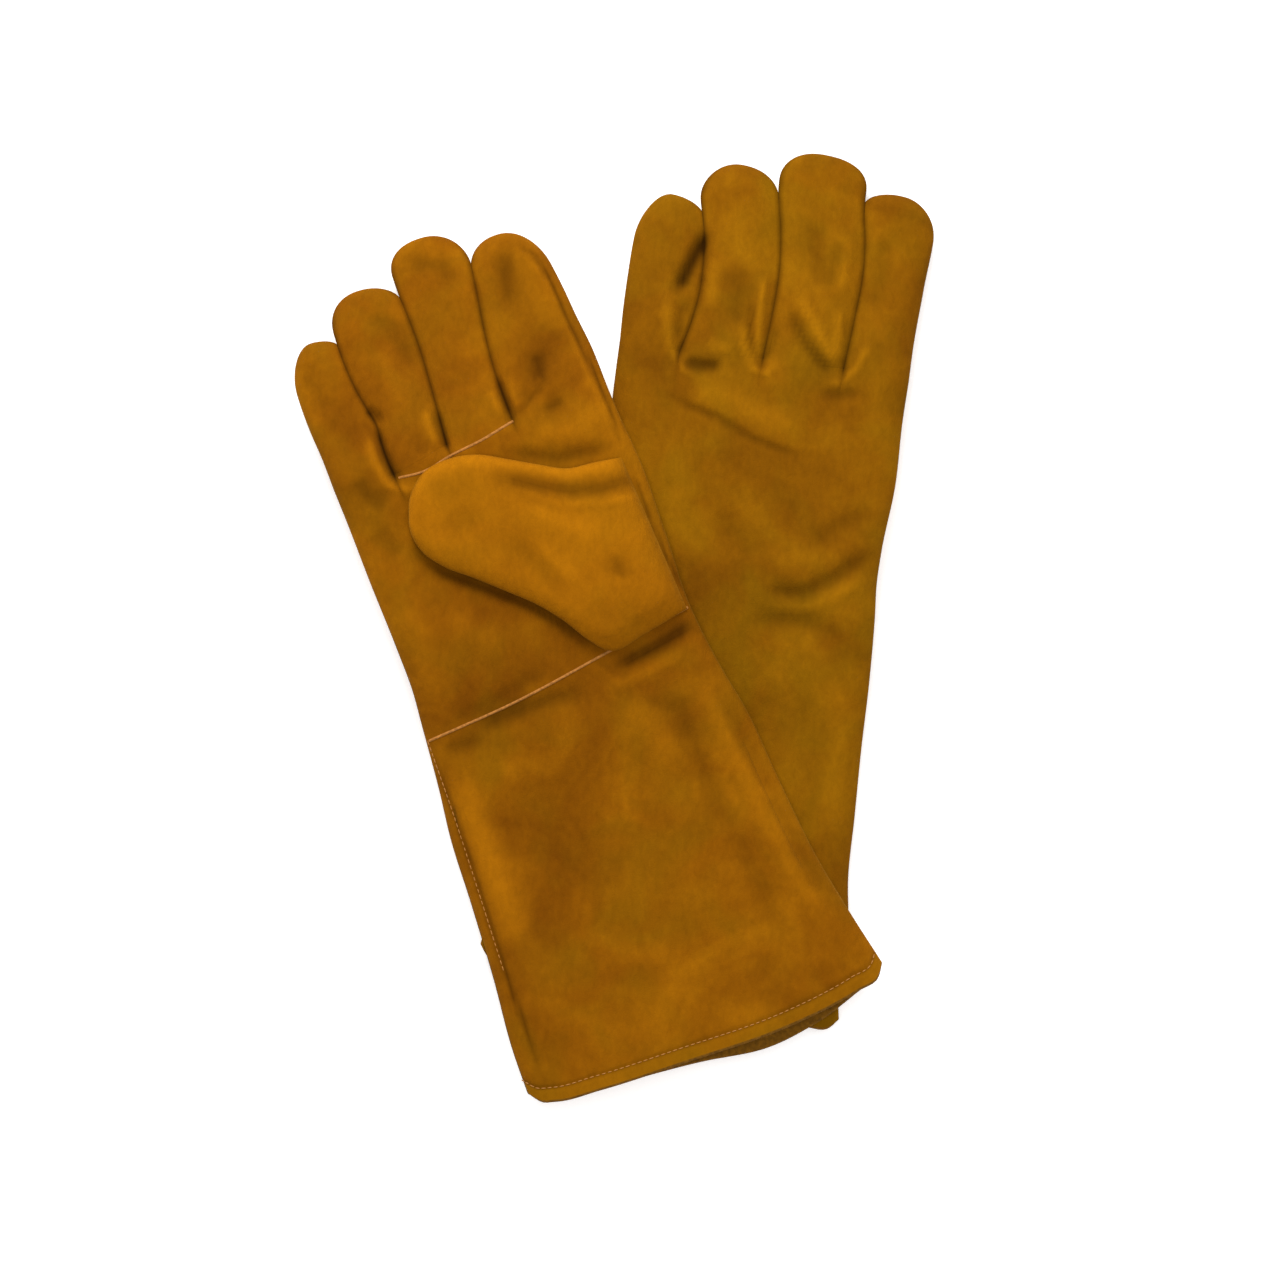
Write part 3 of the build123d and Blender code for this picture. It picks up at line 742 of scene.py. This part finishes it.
# Where each finger ends (v), and how long and how square its tip is on the left and on the right
FINGER_TIPS = {
    "left": {"pinky": (183, 24, 2.0, 7, 2.0), "ring": (204, 20, 2.1, 14, 2.2),
             "middle": (217, 17, 2.2, 14, 2.4), "index": (205, 9, 2.0, 20, 2.3)},
    "right": {"pinky": (187, 22, 2.0, 6, 2.0), "ring": (205, 18, 2.2, 12, 2.0),
              "middle": (221, 15, 2.3, 20, 2.1), "index": (212, 14, 2.1, 22, 2.2)},
}
TIP_DEPTH = 24.0         # how far before its end a tip starts to close from above and below
TIP_POWERS = 2.4, 2.2    # how round it closes
TIP_WALL_ROWS = 8        # rows at the tip where the side wall goes all the way round
FINGER_CROWDING = 0.975  # how much closer the rows stand at the tip, up to 1
TIP_OPENING = 0.05       # the last ring stops this far short of the tip
SIDES_PRESSED = 0.35     # how far neighbouring fingers press into each other
PRESSED_FROM = 8.0       # how far past the root they do it in full
THINNEST = 0.12          # that folds can press a finger to, as a share of its half thickness


def crowded_steps(rows, crowding):
    """Steps from 0 to 1 that stand closer towards the end."""
    quarter = math.pi / 2 * crowding
    return np.sin(np.linspace(0, 1, rows + 1) * quarter) / math.sin(quarter)


def tip_closing(share):
    """The share of the thickness that is left along a tip, from 0 (its start) to 1 (its end)."""
    return (1 - share ** TIP_POWERS[0]) ** (1 / TIP_POWERS[1])


def finger_shell(glove_name, finger, depth):
    """The rings round a finger from root to tip, a depth inside the leather, and their wear."""
    glove = GLOVES[glove_name]
    number = FINGERS.index(finger)
    left_line, right_line = FINGER_EDGES[glove_name][number:number + 2]
    tip, left_length, left_power, right_length, right_power = FINGER_TIPS[glove_name][finger]
    spread = spread_over(FINGER_COLUMNS)
    first = number * FINGER_COLUMNS
    root = np.interp(hand_shares(glove)[first:first + FINGER_COLUMNS + 1], *crotch_line(glove))
    steps = crowded_steps(FINGER_ROWS, FINGER_CROWDING)
    v = root + steps[:, None] * (tip - TIP_OPENING - root)
    left, right = smooth_line(left_line, v), smooth_line(right_line, v)
    length = np.where(spread < 0, left_length, right_length)
    power = np.where(spread < 0, left_power, right_power)
    narrow = (1 - np.clip((v - tip + length) / length, 0, 1) ** power) ** (1 / power)
    inner = 1.0 - ((finger == "pinky") & (spread < 0) | (finger == "index") & (spread > 0))
    pressed = SIDES_PRESSED * inner * np.clip((v - root) / PRESSED_FROM, 0, 1)
    centre, half_width = (left + right) / 2, ((right - left) / 2 + pressed) * narrow
    u = centre + spread * half_width
    middle, half = middle_and_half(glove, v)
    into_tip = np.clip((v - tip + TIP_DEPTH) / TIP_DEPTH, 0, 1)
    inner = inner * (1 - into_tip**2)
    full = tube(glove, np.abs(spread), inner)
    half = half * tip_closing(into_tip)
    lift, dark = relief(glove_name, u, v, full)
    top = middle + np.maximum(half * full + lift * narrow, THINNEST * half * full)
    bottom = middle - half * full
    if depth:
        u = centre + (u - centre) * inward(half_width, depth, 0.35) / np.maximum(half_width, 1e-6)
        top = middle + inward(top - middle, depth)
        bottom = middle - inward(middle - bottom, depth)
        v = v - depth * into_tip**3
    dark = dark + crease_painted_shade(np.abs(spread), inner)
    ring = to_scene(glove, closed_ring(u, u), closed_ring(v, v), closed_ring(top, bottom))
    tone_and_painted_light = tone_and_painted_light_colours(closed_ring(dark, dark))
    return np.vstack([ring.reshape(-1, 3), ring[-1].mean(axis=0)]), np.vstack([tone_and_painted_light, tone_and_painted_light[-1]])


def finger_faces():
    """A finger's upper, lower and side faces; the tip closes on one point."""
    ring = 2 * FINGER_COLUMNS
    faces = ring_faces(FINGER_ROWS + 1, ring)
    spot, row = np.arange(ring), np.arange(FINGER_ROWS)[:, None]
    on_face = row < FINGER_ROWS - TIP_WALL_ROWS
    upper = on_face & (spot >= SIDE_COLUMNS) & (spot < FINGER_COLUMNS - SIDE_COLUMNS)
    lower = on_face & (spot >= FINGER_COLUMNS + SIDE_COLUMNS) & (spot < ring - SIDE_COLUMNS)
    last, cap = FINGER_ROWS * ring, (FINGER_ROWS + 1) * ring
    tip = [(last + k, last + (k + 1) % ring, cap) for k in range(ring)]
    walls = [tuple(f) for f in faces[~upper & ~lower]] + tip
    return [tuple(f) for f in faces[upper]], [tuple(f) for f in faces[lower]], walls


def bend_with(piece, glove_name):
    """Bake a finger's piece into place; the knuckle bend's ends are found, but it is not bent or
    given a body.
    """
    glove = GLOVES[glove_name]
    first = BEND_START[glove_name]
    _, _, top_of_knuckles = glove["levels"][3]
    ends = [to_scene(glove, 0.0, v, top_of_knuckles) for v in (first, first + BEND_LENGTH)]
    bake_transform(piece)


upper_faces, lower_faces, wall_faces = finger_faces()
for side in GLOVES:
    front_faces, back_faces = upper_faces, lower_faces
    if not GLOVES[side]["palm_up"]:
        front_faces, back_faces = lower_faces, upper_faces
    finger_parts = ("front", front_faces), ("back", back_faces), ("side_wall", wall_faces)
    for finger in FINGERS:
        outside, tone_and_painted_light = finger_shell(side, finger, 0.0)
        inside, _ = finger_shell(side, finger, LEATHER)
        for part, faces in finger_parts:
            piece = cut_piece(f"{side}_{finger}_{part}_leather", outside, inside, faces,
                              SUEDE[side], tone_and_painted_light)
            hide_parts(f"{side}_{finger}_{part}")
            bend_with(piece, side)

# ---------------------------------------------------------------------------------------------
# The thumbs.
# A wing thumb is a wide bag of two pieces of leather that grows out of the hand's edge between
# the wrist seam and the first finger. Both thumbs are folded flat across the palm.
# ---------------------------------------------------------------------------------------------
THUMB_ROWS, THUMB_COLUMNS = 60, 34
THUMB_CROWDING = 0.985
THUMB_SIDE_COLUMNS = 3   # of the lower side, that the outer piece takes at each edge
THUMB_THICKNESS = 10.2
THUMB_SLACK = 0.6
THUMB_LIFT = 0.4         # that it keeps clear of the palm
ABOVE_RIM, BELOW_RIM = 0.68, 0.32    # shares of the thickness over and under its edge
THUMB_ROLL = 13.0
THUMB_LENGTH_USED = 0.997    # its two edges stop a hair short of where they meet
THUMB_TIP_START = 0.86
ROOT_INSET = 5.0         # the left thumb's root stays this far inside the hand's edge
ROOT_SWELL = 0.9
# The lower edge lies on the palm beside the wrist seam: how wide, up to where, and its fade
ON_PALM_WIDTH, ON_PALM_END, ON_PALM_FADE = 10.0, 0.34, 0.06
# Painted highlight on the thumb: all over, and more where it rolls over to its edges
THUMB_PAINTED_HIGHLIGHT, THUMB_EDGE_PAINTED_HIGHLIGHT = 0.42, 0.25
THUMB_LOWER = [(66.5, 12.5), (45, 7), (25, 3.6), (16.5, 12), (8, 24), (-2, 35), (-14, 45),
               (-27, 55.5), (-40, 65.5), (-47.5, 75), (-50, 84), (-49.5, 90)]
THUMB_UPPER = [(57, 91), (42, 92.5), (32, 93), (17, 99.5), (4, 106), (-9, 112), (-21, 114),
               (-36, 111), (-45.5, 101.5), (-49.5, 90)]
# Folds on the thumb, as in FOLDS: depth, half width, painted shade (negative: painted highlight),
# line
THUMB_FOLDS = [
    (-1.4, 4.5, 0.55, [(-12, 102), (4, 95), (17, 88), (29, 82.5), (44, 79), (72, 80)]),
    (1.3, 1.8, -0.14, [(0, 94), (14, 84.5), (29, 76.5), (44, 73), (70, 71)]),
    (0.9, 3.0, 0.0, [(56, 89), (44, 90), (32, 90)]),
    (0.8, 6.0, -0.12, [(4, 82), (21, 69), (40, 58)]),
    (-1.2, 4.0, 0.4, [(37, 46), (40, 41), (43, 35)]),
    (0.7, 5.0, -0.12, [(2, 64), (12, 50), (22, 36)]),
    (-0.6, 6.0, 0.14, [(20, 26), (34, 18), (50, 16)]),
    (-0.5, 7.0, 0.14, [(-38, 98), (-26, 102), (-10, 100)]),
    (-0.8, 5.0, 0.2, [(-6, 70), (6, 52), (14, 34)]),
    (-0.7, 6.0, 0.2, [(-36, 80), (-26, 84), (-14, 80)]),
]
THUMB_ROOT_ROLL = 20.0       # over which it swells up from the hand


def along_line(points, steps):
    """Points at even shares of the length of a smooth line through the given ones."""
    points = np.array(points, float)
    grown = np.concatenate([[0], np.cumsum(np.hypot(*np.diff(points, axis=0).T))])
    dense = np.linspace(0, grown[-1], 400)
    u, v = (smooth_line(list(zip(grown, points[:, i])), dense) for i in (0, 1))
    real = np.concatenate([[0], np.cumsum(np.hypot(np.diff(u), np.diff(v)))])
    at = steps * real[-1]
    return np.interp(at, real, u), np.interp(at, real, v)


def thumb_shell(glove_name, depth):
    """The rings round a thumb from root to tip, a depth inside the leather, and their wear."""
    glove = GLOVES[glove_name]
    up = 1 if glove["palm_up"] else -1
    steps = crowded_steps(THUMB_ROWS, THUMB_CROWDING)
    root_low, root_high = THUMB_LOWER[0], THUMB_UPPER[0]
    if not glove["palm_up"]:
        root_low, root_high = (
            (min(u, float(edges_at(glove, v)[1]) - ROOT_INSET), v)
            for u, v in (root_low, root_high))
    low_u, low_v = along_line([root_low, *THUMB_LOWER[1:]], steps * THUMB_LENGTH_USED)
    high_u, high_v = along_line([root_high, *THUMB_UPPER[1:]], steps * THUMB_LENGTH_USED)
    spread = spread_over(THUMB_COLUMNS)
    share = (1 + spread) / 2
    u = low_u[:, None] + share * (high_u - low_u)[:, None]
    v = low_v[:, None] + share * (high_v - low_v)[:, None]
    half_width = np.hypot(high_u - low_u, high_v - low_v)[:, None] / 2
    inside = (1 - np.abs(spread)) * half_width
    reach = np.minimum(THUMB_ROLL, half_width)
    full = roll(inside, reach)
    tip_share = np.clip((steps[:, None] - THUMB_TIP_START) / (1 - THUMB_TIP_START), 0, 1)
    full = full * tip_closing(tip_share)
    from_root = np.hypot(u - u[:1], v - v[:1])
    middle, half = middle_and_half(glove, v)
    palm = half * fullness(glove, u, v)
    rooted = roll(from_root, THUMB_ROOT_ROLL)
    by_wrist = np.clip(1 - inside / ON_PALM_WIDTH, 0, 1) * (spread < 0)
    by_wrist = by_wrist * np.clip((ON_PALM_END - steps[:, None]) / ON_PALM_FADE, 0, 1)
    palm = np.where(rooted < 1, palm + ROOT_SWELL * (1 - rooted), palm)
    rim = palm + THUMB_LIFT + BELOW_RIM * THUMB_THICKNESS * rooted * (1 - by_wrist)
    fold, dark = press(THUMB_FOLDS, u, v)
    fold = fold + np.minimum(dents(u, v, DENT_SEEDS["thumb"]), DENT_TOP)
    thickness = (THUMB_THICKNESS - THUMB_SLACK) * full
    top = rim + (ABOVE_RIM * thickness + fold * np.clip(full, 0, 1)) * rooted
    bottom = np.maximum(rim - BELOW_RIM * thickness * rooted, palm + THUMB_LIFT * rooted)
    if depth:
        centre = (top + bottom) / 2
        top = centre + inward(top - centre, depth)
        bottom = centre - inward(centre - bottom, depth)
        shrink = inward(half_width, depth, 0.4) / np.maximum(half_width, 1e-6)
        mid_u, mid_v = (low_u + high_u)[:, None] / 2, (low_v + high_v)[:, None] / 2
        u, v = mid_u + (u - mid_u) * shrink, mid_v + (v - mid_v) * shrink
        u = u + depth * (tip_share**3 - np.clip(1 - from_root / 8, 0, 1))
    heights = closed_ring(middle + up * top, middle + up * bottom)
    ring = to_scene(glove, closed_ring(u, u), closed_ring(v, v), heights)
    points, ends = ring.reshape(-1, 3), ring[[0, -1]].mean(axis=1)
    # Painted highlight all over, and most where it rolls over to its edges
    rolling = np.exp(-(((full - 0.55) / 0.28) ** 2)) * rooted
    brightened = THUMB_PAINTED_HIGHLIGHT + THUMB_EDGE_PAINTED_HIGHLIGHT * rolling
    tone_and_painted_light = tone_and_painted_light_colours(closed_ring(dark, dark), 0.0, closed_ring(brightened, brightened))
    return np.vstack([points, ends]), np.vstack([tone_and_painted_light, tone_and_painted_light[:1], tone_and_painted_light[-1:]])


def thumb_faces(flipped):
    """A thumb's faces: the outer piece with the sides, and the one against the palm.

    A thumb that lies under its hand is built upside down, so its faces are flipped to look out.
    """
    ring = 2 * THUMB_COLUMNS
    faces = ring_faces(THUMB_ROWS + 1, ring)
    spot = np.arange(ring)
    against_palm = spot >= THUMB_COLUMNS + THUMB_SIDE_COLUMNS
    against_palm &= spot < ring - THUMB_SIDE_COLUMNS
    inner, outer = faces[:, against_palm].reshape(-1, 4), faces[:, ~against_palm].reshape(-1, 4)
    start, end = (THUMB_ROWS + 1) * ring, (THUMB_ROWS + 1) * ring + 1
    last = THUMB_ROWS * ring
    caps = [((k + 1) % ring, k, start) for k in range(ring)]
    caps += [(last + k, last + (k + 1) % ring, end) for k in range(ring)]
    outer, inner = [tuple(f) for f in outer] + caps, [tuple(f) for f in inner]
    if flipped:
        outer, inner = ([tuple(reversed(f)) for f in part] for part in (outer, inner))
    return outer, inner


def thumb_moves(piece, glove_name):
    """The left thumb is held under its hand; the right thumb's piece is only baked in place."""
    if glove_name == "left":
        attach(piece, "left_hand")
        return
    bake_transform(piece)


for side in GLOVES:
    outside, tone_and_painted_light = thumb_shell(side, 0.0)
    inside, _ = thumb_shell(side, LEATHER)
    outer_faces, inner_faces = thumb_faces(not GLOVES[side]["palm_up"])
    for part, faces in (("outer", outer_faces), ("inner", inner_faces)):
        piece = cut_piece(f"{side}_thumb_{part}_leather", outside, inside, faces, SUEDE[side], tone_and_painted_light)
        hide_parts(f"{side}_thumb_{part}")
        thumb_moves(piece, side)

# ---------------------------------------------------------------------------------------------
# The hems.
# At the cuff's mouth the leather is turned in 14 mm, rough side out, and stitched down. The fold
# makes a soft round lip, and the turned-in part shows inside the mouth.
# ---------------------------------------------------------------------------------------------
HEM_ROWS = 15
LIP_STEPS = 7
LAYER_GAP = 0.05         # between the cuff and the leather turned in behind it


def rough_leather(name, colour, scale):
    """The rough flesh side of the split, or a cut welt: a plain matt leather with fine fibres."""
    finish, tree, shader = new_finish(name, {"Roughness": 0.92, "Specular IOR Level": 0.15})
    fibre = grain(tree, "ShaderNodeTexNoise", {"Scale": scale, "Detail": 5.0, "Distortion": 0.4})
    darker, lighter = (tuple(min(1, c * by) for c in colour) for by in (0.66, 1.25))
    shades = colour_steps(tree, fibre, [(0.3, darker), (0.7, lighter)])
    tree.links.new(shades, shader.inputs["Base Color"])
    raise_surface(tree, shader, fibre, 0.5, 0.0005)
    return finish


HEM_LEATHER = rough_leather("hem_leather", (0.17, 0.07, 0.003), 420)


def turned_hem(side):
    """The hem: a lip round the mouth's edge and the leather turned in behind it."""
    depths = (0.0, LEATHER + LAYER_GAP, 2 * LEATHER + LAYER_GAP)
    (out_u, out_v, out_z), middle, (in_u, in_v, in_z) = (shell(side, d)[:3] for d in depths)
    along = []
    for step in range(LIP_STEPS + 1):
        angle = math.pi * step / LIP_STEPS
        share = (1 - math.cos(angle)) / 2
        u, z = (a[0] + share * (b[0] - a[0]) for a, b in ((out_u, in_u), (out_z, in_z)))
        along.append((u, out_v[0] - LEATHER * math.sin(angle), z))
    outer = along + [(in_u[r], in_v[r], in_z[r]) for r in range(1, HEM_ROWS + 1)]
    inner = [[a[max(r - LIP_STEPS, 0)] for a in middle] for r in range(len(outer))]
    outside, inside = (
        np.vstack([to_scene(GLOVES[side], *row) for row in rows]) for rows in (outer, inner))
    # Round the lip the inner face follows the outer one a little, so that no two rows are one
    ring = out_u.shape[1]
    lip = slice((LIP_STEPS + 1) * ring)
    inside[lip] = inside[lip] * 0.7 + outside[lip] * 0.3
    faces = ring_faces(len(outer), ring).reshape(-1, 4)[:, ::-1]
    return cut_piece(f"{side}_hem_leather", outside, inside, faces, HEM_LEATHER)


for side in GLOVES:
    hem = turned_hem(side)
    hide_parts(f"{side}_hem")
    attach(hem, f"{side}_hand")

# ---------------------------------------------------------------------------------------------
# The linings.
# The cuff is lined with plain cotton canvas, and the hand, the fingers and the thumb with
# brushed fleece, loose inside the leather and caught in its seams.
# ---------------------------------------------------------------------------------------------
LINING = 1.0
LINING_DEPTH = LEATHER + 0.15


def canvas(name):
    """Plain weave cotton: two sets of threads at right angles."""
    finish, tree, shader = new_finish(name, {"Roughness": 0.95, "Specular IOR Level": 0.1})
    weave = node(tree, "ShaderNodeMath", operation="MAXIMUM")
    for socket, direction in zip(weave.inputs, ("X", "Y")):
        threads = grain(tree, "ShaderNodeTexWave", {"Scale": 260.0, "Distortion": 0.6},
                        bands_direction=direction)
        tree.links.new(threads, socket)
    shades = [(0.2, (0.36, 0.31, 0.22)), (0.9, (0.66, 0.6, 0.48))]
    tree.links.new(colour_steps(tree, weave.outputs[0], shades), shader.inputs["Base Color"])
    raise_surface(tree, shader, weave.outputs[0], 0.4, 0.0004)
    return finish


CANVAS = canvas("canvas_lining")
FLEECE = rough_leather("fleece_lining", (0.62, 0.58, 0.48), 600)


def lining_of(name, outside, inside, faces, finish, replaced, slot):
    """A lining with its rough side in, standing for the plain one."""
    piece = cut_piece(name, outside, inside, faces, finish)
    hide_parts(replaced)
    return piece


for side in GLOVES:
    rows, ring = BODY[side]["rings"]
    layers = []
    for depth in (LINING_DEPTH, LINING_DEPTH + LINING):
        u, v, z, _ = shell(side, depth)
        layers.append(to_scene(GLOVES[side], u, v, z).reshape(-1, 3))
    faces = BODY[side]["faces"]
    cuff = lining_of(f"{side}_cuff_canvas", *layers, faces[HEM_ROWS:CUFF_ROWS].reshape(-1, 4),
                     CANVAS, f"{side}_cuff_lining", "canvas_lining")
    hand = lining_of(f"{side}_hand_fleece", *layers, faces[CUFF_ROWS:].reshape(-1, 4), FLEECE,
                     f"{side}_hand_lining", "fleece_lining")
    for piece in (cuff, hand):
        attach(piece, f"{side}_hand")
    for finger in FINGERS:
        outside, _ = finger_shell(side, finger, LINING_DEPTH)
        inside, _ = finger_shell(side, finger, LINING_DEPTH + LINING)
        piece = lining_of(f"{side}_{finger}_fleece", outside, inside,
                          upper_faces + lower_faces + wall_faces, FLEECE,
                          f"{side}_{finger}_lining", "fleece_lining")
        bend_with(piece, side)
    outside, _ = thumb_shell(side, LINING_DEPTH)
    inside, _ = thumb_shell(side, LINING_DEPTH + LINING)
    outer_faces, inner_faces = thumb_faces(not GLOVES[side]["palm_up"])
    piece = lining_of(f"{side}_thumb_fleece", outside, inside, outer_faces + inner_faces, FLEECE,
                      f"{side}_thumb_lining", "fleece_lining")
    thumb_moves(piece, side)

# ---------------------------------------------------------------------------------------------
# The welts.
# A narrow strip of lighter leather is caught in the seam across the wrist and in the one below
# the ring and middle fingers, and stands up between the two edges of the suede.
# ---------------------------------------------------------------------------------------------
WELT_WIDTH, WELT_HEIGHT = 1.4, 1.2
WELT_SUNK = 0.15         # into the leather
WELT_ENDS = 1.5          # that the wrist welt stops short of the sides
WELT_LEATHER = rough_leather("welt_leather", (0.36, 0.145, 0.03), 700)


def new_tree(name, inputs):
    """An empty geometry tree that takes a curve and the named inputs; returns it with its ends."""
    tree = bpy.data.node_groups.new(name, "GeometryNodeTree")
    tree.interface.new_socket("Geometry", in_out="INPUT", socket_type="NodeSocketGeometry")
    for label, kind in inputs.items():
        tree.interface.new_socket(label, in_out="INPUT", socket_type=kind)
    tree.interface.new_socket("Geometry", in_out="OUTPUT", socket_type="NodeSocketGeometry")
    return tree, tree.nodes.new("NodeGroupInput"), tree.nodes.new("NodeGroupOutput")


def wire(tree, *runs):
    """Link nodes: each run is a node, its output, the next node and its input."""
    for source, output, target, socket in runs:
        tree.links.new(source.outputs[output], target.inputs[socket])


def welt_tree():
    """A flat oval strip along a curve."""
    tree, given, made = new_tree("welt_strip", {
        "Width": "NodeSocketFloat", "Height": "NodeSocketFloat", "Finish": "NodeSocketMaterial"})
    level = node(tree, "GeometryNodeSetCurveNormal", mode="Z_UP")
    round_section = node(
        tree, "GeometryNodeCurvePrimitiveCircle", {"Resolution": 10, "Radius": 0.5})
    section = node(tree, "GeometryNodeTransform")
    size = node(tree, "ShaderNodeCombineXYZ", {"Z": 1.0})
    strip = node(tree, "GeometryNodeCurveToMesh", {"Fill Caps": True})
    real = node(tree, "GeometryNodeRealizeInstances")
    finish = node(tree, "GeometryNodeSetMaterial")
    wire(
        tree,
        (given, "Geometry", level, "Curve"), (given, "Width", size, "X"),
        (given, "Height", size, "Y"), (round_section, "Curve", section, "Geometry"),
        (size, "Vector", section, "Scale"), (level, "Curve", strip, "Curve"),
        (section, "Geometry", strip, "Profile Curve"), (strip, "Mesh", real, "Geometry"),
        (real, "Geometry", finish, "Geometry"), (given, "Finish", finish, "Material"),
        (finish, "Geometry", made, "Geometry")
    )
    return tree


def run_tree(name, tree, lines, values):
    """Run a geometry tree over one or more lines of points and keep the result as a plain mesh."""
    curve = bpy.data.curves.new(name + "_line", "CURVE")
    curve.dimensions = "3D"
    for line in lines:
        spline = curve.splines.new("POLY")
        spline.points.add(len(line) - 1)
        for point, place in zip(spline.points, line):
            point.co = (*place, 1)
    holder = put_in(name + "_line", curve)
    modifier = holder.modifiers.new("make", "NODES")
    modifier.node_group = tree
    for item in tree.interface.items_tree:
        if item.in_out == "INPUT" and item.name in values:
            modifier[item.identifier] = values[item.name]
    seen = holder.evaluated_get(bpy.context.evaluated_depsgraph_get())
    mesh = bpy.data.meshes.new_from_object(seen)
    bpy.data.objects.remove(holder)
    mesh.name = name
    mesh.polygons.foreach_set("use_smooth", [True] * len(mesh.polygons))
    return put_in(name, mesh)


def on_front(glove_name, points, lift, count=90):
    """Places along a line (u, v) on the front of a glove, lifted off the leather."""
    glove = GLOVES[glove_name]
    u, v = along_line(points, np.linspace(0, 1, count))
    if glove["palm_up"]:
        return to_scene(glove, u, v, upper_face(glove_name, u, v)[0] + lift)
    middle, half = middle_and_half(glove, v)
    return to_scene(glove, u, v, middle - half * fullness(glove, u, v) - lift)


WELT_TREE = welt_tree()
for side in GLOVES:
    glove = GLOVES[side]
    wrist_line = []
    for share, v in glove["wrist"]:
        left, right = edges_at(glove, v)
        wrist_line.append((left + share * (right - left), v))
    for end, inset in ((0, WELT_ENDS), (-1, -WELT_ENDS)):
        wrist_line[end] = (wrist_line[end][0] + inset, wrist_line[end][1])
    # From the crotch beside the ring finger, below the next one, to the one past the middle finger
    (a_u, a_v), (b_u, b_v), (c_u, c_v) = glove["crotches"][1:4]
    finger_line = [(a_u + 2, a_v - 2), ((a_u + b_u) / 2, (a_v + b_v) / 2 - 6), (b_u, b_v - 6),
                   ((b_u + c_u) / 2, (b_v + c_v) / 2 - 4.5), (c_u, c_v - 1.5)]
    for part, line in (("wrist_welt", wrist_line), ("finger_welt", finger_line)):
        strip = run_tree(f"{side}_{part}_strip", WELT_TREE, [on_front(side, line, -WELT_SUNK)], {
            "Width": WELT_WIDTH * MM, "Height": WELT_HEIGHT * MM, "Finish": WELT_LEATHER})
        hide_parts(f"{side}_{part}")
        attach(strip, f"{side}_hand")

# ---------------------------------------------------------------------------------------------
# The thread.
# Waxed aramid thread holds the hem down all round the mouth and runs along the turned-up edge of
# the cuff. The stitches lie in the nap, about three to the centimetre.
# ---------------------------------------------------------------------------------------------
STITCH_PITCH, STITCH_LENGTH, THREAD = 3.0, 2.5, 0.55
THREAD_LIFT = 0.1        # of the thread's middle over the leather
SIDE_SEAM = [(-71, -14), (-69.4, -50), (-68.6, -83), (-67.8, -128)]


def thread_finish():
    """Twisted tan thread, slightly waxed."""
    finish, tree, shader = new_finish("sewing_thread", {"Roughness": 0.6})
    twist = grain(tree, "ShaderNodeTexWave", {"Scale": 700.0, "Distortion": 2.0},
                  bands_direction="DIAGONAL")
    shades = [(0.0, (0.3, 0.11, 0.01)), (1.0, (0.46, 0.19, 0.025))]
    tree.links.new(colour_steps(tree, twist, shades), shader.inputs["Base Color"])
    return finish


def stitch_tree():
    """A stitch at every pitch along a curve, each a slim rounded bead that follows the line."""
    tree, given, made = new_tree("seam_stitches", {
        "Pitch": "NodeSocketFloat", "Length": "NodeSocketFloat", "Thread": "NodeSocketFloat",
        "Finish": "NodeSocketMaterial"})
    spaced = node(tree, "GeometryNodeResampleCurve", mode="LENGTH")
    bead = node(tree, "GeometryNodeMeshUVSphere", {"Segments": 6, "Rings": 5, "Radius": 0.5})
    size = node(tree, "ShaderNodeCombineXYZ")
    tangent = node(tree, "GeometryNodeInputTangent")
    turn = node(tree, "FunctionNodeAlignRotationToVector", axis="Z")
    uneven = node(tree, "FunctionNodeRandomValue", {"Min": 0.85, "Max": 1.1, "Seed": 4},
                  data_type="FLOAT")
    length = node(tree, "ShaderNodeMath", operation="MULTIPLY")
    placed = node(tree, "GeometryNodeInstanceOnPoints")
    real = node(tree, "GeometryNodeRealizeInstances")
    finish = node(tree, "GeometryNodeSetMaterial")
    wire(
        tree,
        (given, "Geometry", spaced, "Curve"), (given, "Pitch", spaced, "Length"),
        (given, "Length", length, 0), (uneven, "Value", length, 1), (given, "Thread", size, "X"),
        (given, "Thread", size, "Y"), (length, 0, size, "Z"), (tangent, "Tangent", turn, "Vector"),
        (spaced, "Curve", placed, "Points"), (bead, "Mesh", placed, "Instance"),
        (turn, "Rotation", placed, "Rotation"), (size, "Vector", placed, "Scale"),
        (placed, "Instances", real, "Geometry"), (real, "Geometry", finish, "Geometry"),
        (given, "Finish", finish, "Material"), (finish, "Geometry", made, "Geometry")
    )
    return tree


THREAD_FINISH = thread_finish()
STITCHES = stitch_tree()
for side in GLOVES:
    glove = GLOVES[side]
    rings = shell(side, 0.0)[:3]
    height, spot = rings[1] - rings[1][0], np.arange(rings[1].shape[1])
    row = (height < HEM_BAND).sum(axis=0) - 1
    share = (HEM_BAND - height[row, spot]) / (height[row + 1, spot] - height[row, spot])
    u, v, z = ((1 - share) * a[row, spot] + share * a[row + 1, spot] for a in rings)
    # Off the leather on the upper side (1) and the lower one (-1), not at the two edges
    lifted = ((spot > 0) & (spot < HAND_COLUMNS)) * 1.0 - (spot > HAND_COLUMNS)
    lines = [to_scene(glove, *(np.append(a, a[0]) for a in (u, v, z + THREAD_LIFT * lifted)))]
    if glove["palm_up"]:
        seam_u, seam_v = along_line(SIDE_SEAM, np.linspace(0, 1, 100))
        seam_z = upper_face(side, seam_u, seam_v)[0] + THREAD_LIFT
        lines.append(to_scene(glove, seam_u, seam_v, seam_z))
    thread = run_tree(f"{side}_thread", STITCHES, lines, {
        "Pitch": STITCH_PITCH * MM, "Length": STITCH_LENGTH * MM, "Thread": THREAD * MM,
        "Finish": THREAD_FINISH})
    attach(thread, f"{side}_hand")
